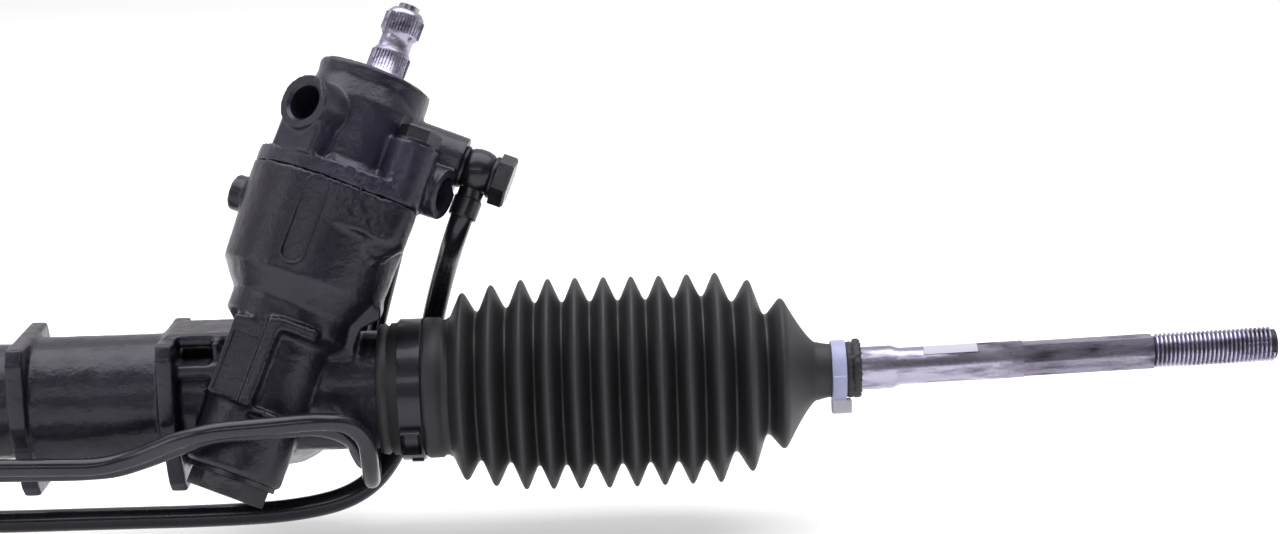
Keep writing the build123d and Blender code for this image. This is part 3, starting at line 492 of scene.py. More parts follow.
HOUSING_TOP = 115.0
FLANGE_TOP = SEAM + 6.0
BARREL_SHIFT, TOP_SHIFT = -1.5, -2.8  # the castings are fuller on the left
SEAT_RADIUS, COLLAR_RADIUS, TUBE_RADIUS = 22.0, 20.0, 20.5
FLANGES = (-25.3, 25.6)
FLANGE_OUTLINE = ((-22, 23.3), (-25, 18.5), (-25, -4), (-13.5, -28), (-9, -32),
                  (9, -32), (13.5, -28), (25, -4), (25, 18.5), (22, 23.3))
RIGHT_WEB = ((70, 6), (84, 6), (88.5, 14), (90, 20), (92, 24.5), (99, 28), (99, 33), (70, 33))
LOWER_RIM, LOWER_RADIUS = -31.4, 17.0
YOKE_BOSS_RADIUS, YOKE_BOSS_END = 22.4, 36.0
CYLINDER_BORE, LOWER_BORE, GEAR_CHAMBER, NECK_BORE, YOKE_BORE = 18.05, 14.05, 11.9, 15.05, 17.0
PORT_BORE, PIPE_BORE, BOLT_RADIUS = 6.1, 5.05, 4.0
LUG_RADIUS, LUG_TOP = 8.5, 94.0
BOLT_SITES = ((22.0, -17.5), (-23.0, 18.0))
PRESSURE_PORT = (-33.0, 94.0, 33.0, 9.7)  # azimuth, station, face and radius
RETURN_PORT = (75.0, 82.5, 37.0, 9.0)
BANJO_PORT = (92.0, 95.5, 36.5, 10.0)
LINE_PORTS = ((190.0, 83.0, 30.0, 8.0), (170.0, 100.0, 30.0, 8.0))
FLASH_SPOTS = ((2, SEAM + 7, 7), (16, SEAM + 4, 8), (32, SEAM + 3, 8), (24, SEAM - 5, 6), (40, SEAM - 9, 7),
               (52, SEAM - 20, 6), (30, -2, 5))  # azimuth, station and spread of the coarse casting flash


def lug_outline(x, y):
    """A bolt's lug in plan, with sides that run tangent to the barrel."""
    along = atan2(y, x)
    half = acos((BARREL_RADIUS - LUG_RADIUS) / hypot(x, y))
    first, last = ((BARREL_SHIFT + BARREL_RADIUS * cos(a), BARREL_RADIUS * sin(a))
                   for a in (along - half, along + half))
    nose = [along - half + 2 * half * k / 12 for k in range(13)]
    return [first, *((x + LUG_RADIUS * cos(a), y + LUG_RADIUS * sin(a)) for a in nose), last, (0, 0)]


def gear_housing_forms():
    """The gear housing before it is bored: seat, flanges, tube, webs, box, neck, barrel, lugs and bosses."""
    left, right = FLANGES
    forms = [drum(RACK, SEAT_RADIUS, -24, 24), drum(RACK, COLLAR_RADIUS, -46, left),
             drum(RACK, 17.8, right, 51), drum(RACK, TUBE_RADIUS, 49, 112.5)]
    forms += [prism(RACK, FLANGE_OUTLINE, station - 3, station + 3) for station in FLANGES]
    forms += [slab(WORLD, (38.6, 0, 22.1), (27, 25, 4.6)), slab(WORLD, (35.6, -13.5, 12.8), (21, 13.5, 4.5)),
              slab(WORLD, (42.6, -10, 18), (3, 17, 9)), slab(WORLD, (37.6, 4, -20.5), (25, 14, 7))]
    forms.append(stacked(WORLD, [[(x, y, z) for x, z in RIGHT_WEB] for y in (-1, -15)]))
    forms.append(cones(TOWER, (LOWER_RIM, LOWER_RADIUS - 1, 0, 0), (LOWER_RIM + 1.5, LOWER_RADIUS, 0, 0),
                       (-8.5, LOWER_RADIUS, 0, 0)))
    forms.append(cones(TOWER, (-9, 17.6, 0, 0), (18, 17.6, 0, 0), (22, 22.2, 0, 0), (29, 22.2, 0, 0),
                       (38, 28.4, -0.8, 0), (SEAM, BARREL_RADIUS, BARREL_SHIFT, 0)))
    forms += [slab(TOWER, (-9, -12.8, 5.8), (12, 15.4, 28.4)), slab(TOWER, (-0.9, -18, 6.6), (4.6, 12, 31)),
              slab(TOWER, (7, -17, -9.5), (13, 11, 2.4)), slab(TOWER, (7, -16, 21), (14, 15, 4))]
    forms.append(drum(on_port(-98, SEAM - 11.5), 6.4, 10, BARREL_RADIUS + 6.2))
    for x, y in BOLT_SITES:
        forms.append(prism(TOWER, lug_outline(x, y), SEAM - 14, SEAM))
        forms.append(cones(TOWER, (SEAM - 22, 5.5, 0.78 * x, 0.78 * y), (SEAM - 14, LUG_RADIUS, x, y)))
    return forms + [drum(YOKE, YOKE_BOSS_RADIUS, 0, YOKE_BOSS_END)]


def gear_housing_cuts():
    """Bores of the rack, cylinder, bearings, gear chamber and yoke, and the recess in the pinion box."""
    return [drum(RACK, RACK_BORE + 0.3, -47, 114), drum(RACK, CYLINDER_BORE, -47, -30),
            drum(TOWER, LOWER_BORE, -33, -18.9), drum(TOWER, GEAR_CHAMBER, -20, 31),
            drum(TOWER, NECK_BORE, 30, 43), drum(TOWER, 17.6, 42, SEAM + 1),
            drum(YOKE, YOKE_BORE, 2, YOKE_BOSS_END + 1), slab(TOWER, (-9, -20.9, 3.5), (8.6, 2.6, 21))]


def valve_housing_forms():
    """The valve housing before it is bored: flange, lugs, rimmed body, ports and one port's block."""
    top = HOUSING_TOP
    forms = [drum(TOWER, BARREL_RADIUS - 0.4, SEAM, FLANGE_TOP, BARREL_SHIFT)]
    for x, y in BOLT_SITES:
        reach = hypot(x, y)
        forms.append(prism(TOWER, lug_outline(x, y), SEAM, FLANGE_TOP))
        forms.append(drum(TOWER, LUG_RADIUS, SEAM, LUG_TOP, x, y))
        web = TOWER @ Matrix.Rotation(atan2(y, x), 4, "Z")
        forms.append(slab(web, (reach / 2, 0, (FLANGE_TOP + LUG_TOP) / 2),
                          (reach, 12, LUG_TOP - FLANGE_TOP + 0.5)))
    forms.append(cones(TOWER, (FLANGE_TOP - 1, 24.7, -0.9, 0), (FLANGE_TOP + 3, 22.3, -0.9, 0),
                       (top - 12, 21.3, -1.4, 0), (top - 5, 18.9, TOP_SHIFT, 0),
                       (top - 2.5, 19.3, TOP_SHIFT, 0),
                       (top - 0.8, 19.3, TOP_SHIFT, 0), (top, 18.4, TOP_SHIFT, 0)))
    forms.append(cones(TOWER, (top - 11.5, 15.4, 3.2, 0), (top - 1, 16.8, 1.4, 0)))
    for azimuth, station, face, radius in (PRESSURE_PORT, RETURN_PORT, BANJO_PORT, *LINE_PORTS):
        forms.append(drum(on_port(azimuth, station), radius, 8, face + 0.4))
    port = on_port(*PRESSURE_PORT[:2])
    return forms + [slab(port, (-8.5, 0, 18.5), (16.0, 17.0, 25))]


def valve_housing_cuts():
    """Bores of the sleeve, bearing, seal and ports, and the machined faces."""
    port, mouth = on_port(*PRESSURE_PORT[:2]), PRESSURE_PORT[2]
    cuts = [drum(TOWER, SLEEVE_RADIUS + 0.4, SEAM - 5, 100.3), drum(TOWER, 13.3, 99, 108.4),
            drum(TOWER, LOWER_BORE, 108, 117), drum(port, PORT_BORE, mouth - 13, mouth + 2),
            drum(port, 3.0, mouth - 20, mouth - 10), drum(port, 14, mouth, mouth + 5),
            cones(port, (mouth - 1, PORT_BORE, 0, 0), (mouth + 0.3, 7.4, 0, 0))]
    for azimuth, station, face, radius in (RETURN_PORT, BANJO_PORT, *LINE_PORTS):
        bore = PORT_BORE if face == RETURN_PORT[2] else PIPE_BORE
        cuts.append(drum(on_port(azimuth, station), bore, face - 13, face + 2))
        cuts.append(drum(on_port(azimuth, station), radius + 1.0, face, face + 4))
    return cuts + [drum(TOWER, LUG_RADIUS, LUG_TOP, LUG_TOP + 12, x, y) for x, y in BOLT_SITES]


def end_casting_cuts():
    return [drum(RACK, RACK_BORE + 0.3, -369, -290), drum(RACK, CYLINDER_BORE, -362, -290)]


def end_casting_forms():
    """The casting on the cylinder's far end, with a seat between two rims."""
    return [drum(RACK, SEAT_RADIUS, -350, -306), drum(RACK, TUBE_RADIUS, -368, -328),
            drum(RACK, COLLAR_RADIUS, -328, -298),
            drum(RACK, 24.5, -350, -344), drum(RACK, 24.5, -312, -306)]


def sand_cast_skin():
    """Geometry Nodes: lumps a casting's skin, most where the attribute flash says that it is coarse."""
    tree, inlet = node_tree("sand_cast_skin", ("Lump", "Lump height", "Flash", "Flash height", "Seed"))
    place = add(tree, "GeometryNodeInputPosition")
    normal = add(tree, "GeometryNodeInputNormal")
    offset = 0.0
    coarse = add(tree, "GeometryNodeInputNamedAttribute", {"data_type": "FLOAT"}, Name="flash")
    for size, height, share in (("Lump", "Lump height", 1.0), ("Flash", "Flash height", coarse)):
        scale = add(tree, "ShaderNodeMath", {"operation": "DIVIDE"}, i0=1.0, i1=inlet[size])
        lumps = add(tree, "ShaderNodeTexNoise", {"noise_dimensions": "4D"}, Vector=place, W=inlet["Seed"],
                    Scale=scale, Detail=2.0)
        swing = add(tree, "ShaderNodeMath", {"operation": "SUBTRACT"}, i0=lumps, i1=0.5)
        rise = add(tree, "ShaderNodeMath", {"operation": "MULTIPLY"}, i0=swing, i1=inlet[height])
        offset = add(tree, "ShaderNodeMath", {"operation": "MULTIPLY_ADD"}, i0=rise, i1=share, i2=offset)
    shift = add(tree, "ShaderNodeVectorMath", {"operation": "SCALE"}, i0=normal, Scale=offset)
    moved = add(tree, "GeometryNodeSetPosition", Geometry=inlet["Geometry"], Offset=shift)
    real = add(tree, "GeometryNodeRealizeInstances", Geometry=moved)
    dressed = add(tree, "GeometryNodeSetMaterial", Geometry=real, Material=MATERIALS["cast_black"])
    add(tree, "NodeGroupOutput", Geometry=dressed)
    return tree


def casting(node, forms, cuts, skin, cell, rounds):
    """Forms grown together with fillets and a lumpy skin, then machined, in place of the solid."""
    obj = joined(f"{node}_casting", forms)
    cells = obj.modifiers.new("cells", "REMESH")
    cells.mode = "VOXEL"
    cells.voxel_size = cell * MM
    fillets = obj.modifiers.new("fillets", "SMOOTH")
    fillets.factor = 0.5
    fillets.iterations = rounds
    settle(obj)
    spots = [(on_barrel(azimuth, station), spread * MM) for azimuth, station, spread in FLASH_SPOTS]
    coarse = obj.data.attributes.new("flash", "FLOAT", "POINT")
    coarse.data.foreach_set("value", [
        max(0.0, 1.3 - min((v.co - centre).length / spread for centre, spread in spots))
        for v in obj.data.vertices])
    obj.modifiers.new("skin", "NODES").node_group = skin
    settle(obj, {"Lump": 6 * MM, "Lump height": 0.4 * MM, "Flash": 2.4 * MM, "Flash height": 2.0 * MM,
                 "Seed": 3})
    for number, cut in enumerate(cuts):
        tool = joined(f"cut_{number}", [cut])
        bore = obj.modifiers.new("bore", "BOOLEAN")
        bore.operation = "DIFFERENCE"
        bore.solver = "MANIFOLD"
        bore.object = tool
        settle(obj)
        bpy.data.objects.remove(tool)
    finish_piece(obj, "housing", SLOTS[node], 42)
    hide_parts(node)


def castings():
    skin = sand_cast_skin()
    casting("gear_housing", gear_housing_forms(), gear_housing_cuts(), skin, 0.85, 6)
    casting("valve_housing", valve_housing_forms(), valve_housing_cuts(), skin, 0.7, 5)
    casting("end_casting", end_casting_forms(), end_casting_cuts(), skin, 0.95, 4)


def raised_rim():
    """Cast rim of the bare oblong field on the barrel."""
    across, middle, half, end = -2.9, 56.4, 11.6, 4.0
    rings = []
    for a in turn(96):
        x, z = across + end * cos(a), middle + end * sin(a) + (half if sin(a) > 0 else -half)
        y = -sqrt((BARREL_RADIUS - 0.5) ** 2 - (x - BARREL_SHIFT) ** 2)
        out = Vector((x - BARREL_SHIFT, y, 0)).normalized()
        side = Vector((x - across, 0, z - max(min(z, middle + half), middle - half))).normalized()
        rings.append([TOWER @ (Vector((x, y, z)) + side * 0.45 * cos(b) + out * 0.5 * sin(b)) * MM
                      for b in turn(8)])
    piece_from("cast_rim", rings_to_mesh(rings, closed_loop=True), "housing", "cast_black", 60)


# ---- bolts, banjo and return pipe

def housing_bolts():
    """Flanged hexagon bolts on the valve housing's lugs."""
    for number, (x, y) in enumerate(BOLT_SITES, 1):
        forms = [drum(TOWER, BOLT_RADIUS, SEAM - 11, LUG_TOP, x, y),
                 hexagon(TOWER, 13, LUG_TOP + 1, LUG_TOP + 6, x, y),
                 cones(TOWER, (LUG_TOP, 7.5, x, y), (LUG_TOP + 0.9, 7.4, x, y), (LUG_TOP + 1.4, 6.8, x, y))]
        bolt = joined(f"lug_bolt_{number}", forms)
        finish_piece(bolt, "housing", "fastener_black", 30)
        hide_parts(f"housing_bolt_{number}")


WASHER, EYE_WIDTH = 1.5, 9.6


def banjo():
    """Banjo joint of the return pipe: rounded eye with its tail and ferrule, bolt and two crush washers."""
    azimuth, station, face = BANJO_PORT[:3]
    frame_out = on_port(azimuth, station)
    low, high = face + WASHER, face + WASHER + EYE_WIDTH
    down = frame_out @ Matrix.Translation((0, 0, (low + high) / 2)) @ Matrix.Rotation(-pi / 2, 4, "Y")
    eye = washer(frame_out, [(PIPE_BORE, low), (6.6, low), (7.5, low + 1.3), (8.0, low + 3.2), (8.1, low + 4.8),
                             (8.0, high - 3.2), (7.5, high - 1.3), (6.6, high), (PIPE_BORE, high)])
    forms = [eye, cones(down, (4.5, 4.8, 0, 0), (7.5, 4.4, 0, 0), (10.5, 4.4, 0, 0)),
             cones(down, (9.8, 4.6, 0, 0), (10.3, 5.0, 0, 0), (16.6, 5.0, 0, 0), (17, 4.7, 0, 0))]
    fitting = joined("banjo_eye", forms)
    finish_piece(fitting, "housing", SLOTS["banjo_fitting"], 35)
    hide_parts("banjo_fitting")
    top = high + WASHER
    bolt = joined("banjo_hexagon_bolt", [drum(frame_out, 5.0, face - 12, top + 0.5),
                                         hexagon(frame_out, 16, top, top + 5.5)])
    finish_piece(bolt, "housing", "fastener_black", 30)
    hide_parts("banjo_bolt")
    rims = [washer(frame_out, [(PIPE_BORE, z), (7.3, z), (7.5, z + 0.4), (7.5, z + 1.1), (7.3, z + WASHER),
                               (PIPE_BORE, z + WASHER)]) for z in (face, high)]
    washers = joined("banjo_crush_washers", rims)
    finish_piece(washers, "housing", "washer_alloy", 35)
    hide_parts("banjo_washers")
    return [tuple(down @ Vector((0, 0, reach))) for reach in (13.0, 22.0)]


RETURN_RADIUS = 4.0
RETURN_ROUTE = ((118.6, 25, 36), (113.6, 29.6, 19), (108, 33.2, -6), (97.5, 22, -31), (86, 12, -41),
                (66, 8.5, -45.2), (36, 8, -46.2), (-5, 8.4, -46), (-46, 8, -45.8), (-92, 9, -44.6),
                (-138, 8, -44.8), (-185, 9, -44), (-228, 8, -44.6), (-262, 8.6, -43.4))


def return_pipe(start):
    """Rigid steel return pipe, bent down behind the tube and along under the cylinder."""
    data = bpy.data.curves.new("return_pipe_bent", "CURVE")
    data.dimensions = "3D"
    spline = data.splines.new("NURBS")
    points = [*start, *RETURN_ROUTE]
    spline.points.add(len(points) - 1)
    for point, place in zip(spline.points, points):
        point.co = (*(Vector(place) * MM), 1.0)
    spline.order_u = 3
    spline.use_endpoint_u = True
    spline.resolution_u = 8
    data.bevel_depth = RETURN_RADIUS * MM
    data.bevel_resolution = 6
    data.use_fill_caps = True
    bent = placed("return_pipe_bent", data)
    mesh = bpy.data.meshes.new_from_object(bent.evaluated_get(bpy.context.evaluated_depsgraph_get()))
    bpy.data.objects.remove(bent)
    pipe = placed("return_pipe_bent", mesh)
    finish_piece(pipe, "housing", "line_black", 50)
    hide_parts("return_pipe")


# ---- boots

def rounded_rise(t, w):
    """Goes from 0 to 1: straight in the middle, rounded over the share w at both ends."""
    if t < w:
        return t * t / (2 * w * (1 - w))
    if t > 1 - w:
        return 1 - (1 - t) ** 2 / (2 * w * (1 - w))
    return (t - w / 2) / (1 - w)


FLANK_STEPS = (0.0, 0.06, 0.12, 0.18, 0.26, 0.5, 0.74, 0.82, 0.88, 0.94)


def pleat_line():
    """(station, radius) from the cuff to the last ridge, outer skin."""
    lip, low, high = CUFF_LIP, CUFF_LIP + BAND[0], CUFF_LIP + BAND[1]
    line = [(lip, 21.6), (lip + 0.5, 22.6), (lip + 2.6, 22.7), (lip + 3.2, 22.0), (lip + 3.9, 22.0),
            (lip + 4.5, 22.9), (low - 1.0, 23.0), (low - 0.5, BAND_RADIUS), (high + 0.3, BAND_RADIUS),
            (high + 0.9, 24.3), (high + 1.6, 24.5), (lip + 21.4, 24.4), (lip + 22.2, 23.6), (lip + 23.4, 23.6)]
    lows = [(lip + 24.2, 24.2)] + [((a[0] + b[0]) / 2, v) for a, b, v in zip(RIDGES, RIDGES[1:], VALLEYS)]
    for low, ridge, following in zip(lows, RIDGES, lows[1:] + [None]):
        for a, b in ((low, ridge), (ridge, following)) if following else ((low, ridge),):
            line += [(a[0] + (b[0] - a[0]) * t, a[1] + (b[1] - a[1]) * rounded_rise(t, CREST_ROUND))
                     for t in FLANK_STEPS]
    return line + [RIDGES[-1]]


def cone_line():
    """(station, radius) from the last ridge down the concave cone."""
    start, end = RIDGES[-1], CONE_END
    line = []
    for i in range(17):
        t = i / 16
        drop = (1 - rounded_rise(t, 0.12)) ** 1.3
        line.append((start[0] + (end[0] - start[0]) * t, end[1] + (start[1] - end[1]) * drop))
    return line


def neck_line():
    """(station, radius) of the neck, the seat of its tie and two turned-out rings at the ragged end."""
    tie = TIE_STATION
    return [CONE_END, (tie - 2.6, 9.6), (tie - 0.6, 9.3), (tie + TIE_WIDTH, 9.3),
            (tie + TIE_WIDTH + 0.5, NECK_RADIUS + 0.2),
            (tie + 6.8, NECK_RADIUS + 0.4), (tie + 7.4, NECK_RADIUS - 0.1), (tie + 8.0, NECK_RADIUS + 0.5),
            (tie + 9.2, NECK_RADIUS + 0.6), (NECK_END, NECK_RADIUS + 0.1)]


def boot_ring(side, station, radius, ragged=0.0):
    """A ring of the boot, torn a little where it is ragged."""
    points = []
    for angle in turn(120):
        chatter = noise.noise(Vector((cos(angle) * 9, sin(angle) * 9, station)))
        spike = max(0.0, noise.noise(Vector((cos(angle) * 5, station, sin(angle) * 5))) - 0.25) * 4
        points.append(around(side, station + ragged * chatter * 0.8,
                             radius + ragged * (chatter * 0.5 + spike * 0.5), angle))
    return points


def boot_shell(side, name, line, ragged_from=1e9):
    """A closed wall from an outer line and the same line inset, its height kept as the attribute crest."""
    outer = [boot_ring(side, s, r, 0.8 if s > ragged_from else 0.0) for s, r in line]
    inner = [boot_ring(side, s, max(r - BOOT_WALL, 7.75)) for s, r in reversed(line)]
    obj = piece_from(name, rings_to_mesh(outer + inner, closed_loop=True), None, "boot_rubber", 70)
    ball, outward = BALLS[side]
    # crest drives the painted highlight on the crests and the painted shade in the folds of the rubber
    crest = obj.data.attributes.new("crest", "FLOAT", "POINT")
    heights = []
    for vertex in obj.data.vertices:
        station = (vertex.co.x / MM - ball) * outward
        reach = hypot(vertex.co.y / MM, vertex.co.z / MM - axis_height(station))
        heights.append(crest_share(station, reach))
    crest.data.foreach_set("value", heights)
    return obj


def crest_share(station, reach):
    """0 in a fold and 1 on a crest, and a half on the cone, neck and cuff."""
    if station < RIDGES[0][0] - 5 or station > RIDGES[-1][0]:
        return 0.55
    ridge = min(RIDGES, key=lambda r: abs(r[0] - station))[1]
    return max(0.0, min(1.0, (reach - (ridge - 7.5)) / 7.5)) ** 1.6


def boots():
    """Pleats, cone and neck of each boot, in place of the boot's solid."""
    for side, (ball, outward) in BALLS.items():
        pleats = boot_shell(side, f"boot_pleats_{side}", pleat_line())
        cone = boot_shell(side, f"boot_cone_{side}", cone_line())
        neck = boot_shell(side, f"boot_neck_{side}", neck_line(), TIE_STATION + TIE_WIDTH + 0.6)
        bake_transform(pleats)
        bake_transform(cone)
        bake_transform(neck)
        for piece in (pleats, cone, neck):
            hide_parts(f"boot_{side}")


# ---- clamp bands and ties

def band_ring(side, low, high, reach_in, reach_out):
    """A closed flat band: reach_in and reach_out give its radii at an angle."""
    rings = []
    bevel = 0.2
    for station, share in ((low, 0), (low, 0.8), (low + bevel, 1), (high - bevel, 1), (high, 0.8), (high, 0)):
        ring = []
        for angle in turn(144):
            inside, outside = reach_in(angle), reach_out(angle)
            ring.append(around(side, station, inside + (outside - inside) * share, angle))
        rings.append(ring)
    return rings_to_mesh(rings, closed_loop=True)


def block_on(side, station, angle, radius, sizes, name, body, slot, slit=None, material=None):
    """A rounded block on a band: sizes are along the rack, round it and outwards; slit sinks its top."""
    width, length, height = sizes
    edit = bmesh.new()
    bmesh.ops.create_cube(edit, size=1.0)
    bmesh.ops.scale(edit, vec=(width, length, height), verts=edit.verts)
    bmesh.ops.bevel(edit, geom=edit.edges[:], offset=min(sizes) * 0.16, segments=3, affect="EDGES",
                    profile=0.6)
    if slit:
        top = [f for f in edit.faces if f.normal.z > 0.99]
        bmesh.ops.inset_region(edit, faces=top, thickness=slit[0])
        for face in top:
            bmesh.ops.translate(edit, verts=face.verts, vec=(0, 0, -slit[1]))
    out = Vector((0, -cos(angle), sin(angle)))
    along = Vector((1, 0, 0))
    matrix = Matrix((along, out.cross(along), out)).transposed().to_4x4()
    matrix.translation = around(side, station, radius, angle) / MM
    mesh = bpy.data.meshes.new(name)
    for vertex in edit.verts:
        vertex.co = matrix @ vertex.co * MM
    edit.to_mesh(mesh)
    edit.free()
    return finish_piece(placed(name, mesh), body, slot, 50, material)


def cuff_bands():
    """Steel band of each cuff, with its crimped ear and the lap of its tail."""
    low, high = CUFF_LIP + BAND[0], CUFF_LIP + BAND[1]

    def outside(angle):
        lapped = sin(angle - EAR_ANGLE) < 0 and cos(angle - EAR_ANGLE) > 0.55
        return BAND_RADIUS + BAND_THICK * (1.9 if lapped else 1)

    for side in BALLS:
        ring = band_ring(side, low, high, lambda a: BAND_RADIUS + 0.05, outside)
        band = piece_from(f"cuff_band_{side}", ring, "housing", "band_steel", 30)
        middle = (low + high) / 2
        ear = block_on(side, middle, EAR_ANGLE, BAND_RADIUS + 1.5,
                       (high - low - 0.6, EAR_LENGTH, EAR_HEIGHT + 1.2),
                       f"cuff_band_ear_{side}", "housing", "band_steel", (1.6, 1.4))
        hook = block_on(side, middle + 1.2, EAR_ANGLE - 0.62, BAND_RADIUS + 1.1, (4.2, 2.6, 2.2),
                        f"cuff_band_hook_{side}", "housing", "band_steel")
        for piece in (band, ear, hook):
            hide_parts(f"large_clamp_{side}")


def neck_ties():
    """Nylon tie of each neck: a strap that laps over itself, and its square head underneath."""
    low, high = TIE_STATION, TIE_STATION + TIE_WIDTH
    head_angle = radians(-80)

    def outside(angle):
        lapped = radians(-85) < remainder(angle, 2 * pi) < 0.04
        return 10.45 + (0.4 if lapped else 0)

    for side in BALLS:
        rod = f"tie_rod_{side}"
        ring = band_ring(side, low, high, lambda a: 9.35, outside)
        strap = piece_from(f"neck_tie_{side}", ring, rod, "tie_nylon", 30)
        head = block_on(side, low + TIE_WIDTH / 2 + 0.9, head_angle, 12.6, (7.0, 6.2, 5.2),
                        f"neck_tie_head_{side}", rod, "tie_nylon", (1.3, 0.8), NYLON_HEAD)
        for piece in (strap, head):
            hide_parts(f"small_clamp_{side}")


# ---- threads and serrations

def thread_tree():
    """Geometry Nodes: one ridge swept up a helix."""
    tree, inlet = node_tree("rolled_thread", ("Pitch", "Turns", "Radius", "Depth"))
    height = add(tree, "ShaderNodeMath", {"operation": "MULTIPLY"}, i0=inlet["Pitch"], i1=inlet["Turns"])
    helix = add(tree, "GeometryNodeCurveSpiral", Resolution=40, Rotations=inlet["Turns"],
                Start_Radius=inlet["Radius"], End_Radius=inlet["Radius"], Height=height)
    upright = add(tree, "GeometryNodeSetCurveNormal", {"mode": "Z_UP"}, Curve=helix)
    base = add(tree, "ShaderNodeMath", {"operation": "MULTIPLY"}, i0=inlet["Pitch"], i1=0.92)
    crest = add(tree, "ShaderNodeMath", {"operation": "MULTIPLY"}, i0=inlet["Pitch"], i1=0.34)
    ridge = add(tree, "GeometryNodeCurvePrimitiveQuadrilateral", {"mode": "TRAPEZOID"},
                Height=inlet["Depth"], Bottom_Width=base, Top_Width=crest, Offset=0.0)
    turned = add(tree, "GeometryNodeTransform", Geometry=ridge, Rotation=(0, 0, pi / 2))
    swept = add(tree, "GeometryNodeCurveToMesh", Curve=upright, Profile_Curve=turned, Fill_Caps=True)
    real = add(tree, "GeometryNodeRealizeInstances", Geometry=swept)
    dressed = add(tree, "GeometryNodeSetMaterial", Geometry=real, Material=MATERIALS["rod_steel"])
    add(tree, "NodeGroupOutput", Geometry=dressed)
    return tree


def serration_tree():
    """Geometry Nodes: one pointed tooth, set round a circle."""
    tree, inlet = node_tree("cut_serrations", ("Radius", "Teeth", "Length", "Tooth"))
    rim = add(tree, "GeometryNodeCurvePrimitiveCircle", Resolution=inlet["Teeth"], Radius=inlet["Radius"])
    tooth = add(tree, "GeometryNodeMeshCylinder", Vertices=3, Radius=inlet["Tooth"], Depth=inlet["Length"])
    number = add(tree, "GeometryNodeInputIndex")
    step = add(tree, "ShaderNodeMath", {"operation": "DIVIDE"}, i0=2 * pi, i1=inlet["Teeth"])
    angle = add(tree, "ShaderNodeMath", {"operation": "MULTIPLY"}, i0=number, i1=step)
    facing = add(tree, "ShaderNodeCombineXYZ", Z=angle)
    teeth = add(tree, "GeometryNodeInstanceOnPoints", Points=rim, Instance=tooth.outputs["Mesh"],
                Rotation=facing)
    real = add(tree, "GeometryNodeRealizeInstances", Geometry=teeth)
    dressed = add(tree, "GeometryNodeSetMaterial", Geometry=real, Material=MATERIALS["shaft_steel"])
    add(tree, "NodeGroupOutput", Geometry=dressed)
    return tree


def put(obj, matrix):
    """Moves a mesh drawn in metres round the origin to a frame given in millimetres."""
    place = matrix.copy()
    place.translation = matrix.translation * MM
    obj.data.transform(place)


def threaded_rod(side, tree):
    """The tie rod with its thread rolled: the turned-down end, and the ridge round it."""
    node = f"tie_rod_{side}"
    matrix = rod_matrix(side)
    rod = merged_copy(node, f"forged_rod_{side}")
    edit = bmesh.new()
    edit.from_mesh(rod.data)
    cut = matrix @ Vector((0, 0, THREAD_START + 0.02)) * MM
    out = matrix.to_3x3() @ Vector((0, 0, 1))
    bmesh.ops.bisect_plane(edit, geom=edit.verts[:] + edit.edges[:] + edit.faces[:], plane_co=cut,
                           plane_no=out, clear_outer=True)
    bmesh.ops.holes_fill(edit, edges=[e for e in edit.edges if e.is_boundary])
    edit.to_mesh(rod.data)
    edit.free()
    finish_piece(rod, node, "rod_steel", 35)
    root = THREAD_RADIUS - THREAD_DEPTH
    rings = []
    for station, radius in ((THREAD_START, root + 0.4), (THREAD_START + 0.5, root), (ROD_END - 1.6, root),
                            (ROD_END - 0.9, THREAD_RADIUS - 0.9), (ROD_END - 0.3, THREAD_RADIUS - 0.9),
                            (ROD_END, THREAD_RADIUS - 1.4)):
        rings.append([matrix @ Vector((radius * cos(a), radius * sin(a), station)) * MM
                      for a in turn(48)])
    core = piece_from(f"rod_thread_root_{side}", rings_to_mesh(rings, caps=True), node, "rod_steel", 35,
                      DARK_THREAD_ROOT)
    sizes = {"Pitch": THREAD_PITCH * MM, "Turns": (ROD_END - THREAD_START - 2.2) / THREAD_PITCH,
             "Radius": (root + THREAD_DEPTH / 2) * MM, "Depth": THREAD_DEPTH * MM}
    ridge = grown(f"rod_thread_{side}", tree, sizes)
    put(ridge, matrix @ Matrix.Translation((0, 0, THREAD_START + 0.8)))
    finish_piece(ridge, node, "rod_steel", 35)
    for piece in (rod, core, ridge):
        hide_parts(node)


def serrated_shaft(tree):
    """The input shaft with its two bands cut down to the tooth roots, and the teeth on them."""
    shaft = merged_copy("input_shaft", "machined_shaft")
    into_tower = TOWER.inverted()
    root = SPLINE_RADIUS - SPLINE_DEPTH
    for vertex in shaft.data.vertices:
        place = into_tower @ (vertex.co / MM)
        reach = hypot(place.x, place.y)
        in_band = any(low - 0.6 < place.z < high + 0.6 for low, high in SPLINE_BANDS)
        if in_band and reach > root:
            vertex.co = TOWER @ Vector((place.x * root / reach, place.y * root / reach, place.z)) * MM
    finish_piece(shaft, "input_shaft", "shaft_steel", 35)
    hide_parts("input_shaft")
    tooth = 2 * pi * SPLINE_RADIUS / SPLINE_TEETH * 0.56
    for number, (low, high) in enumerate(SPLINE_BANDS, 1):
        sizes = {"Radius": (SPLINE_RADIUS - tooth) * MM, "Teeth": SPLINE_TEETH,
                 "Length": (high - low - 0.4) * MM, "Tooth": tooth * MM}
        band = grown(f"serrated_band_{number}", tree, sizes)
        put(band, TOWER @ Matrix.Translation((0, 0, (low + high) / 2)))
        finish_piece(band, "input_shaft", "shaft_steel", 20)
        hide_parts("input_shaft")


LABEL_SPAN = (83.2, 101.8)
LABEL_ANGLES = (radians(46), radians(90))


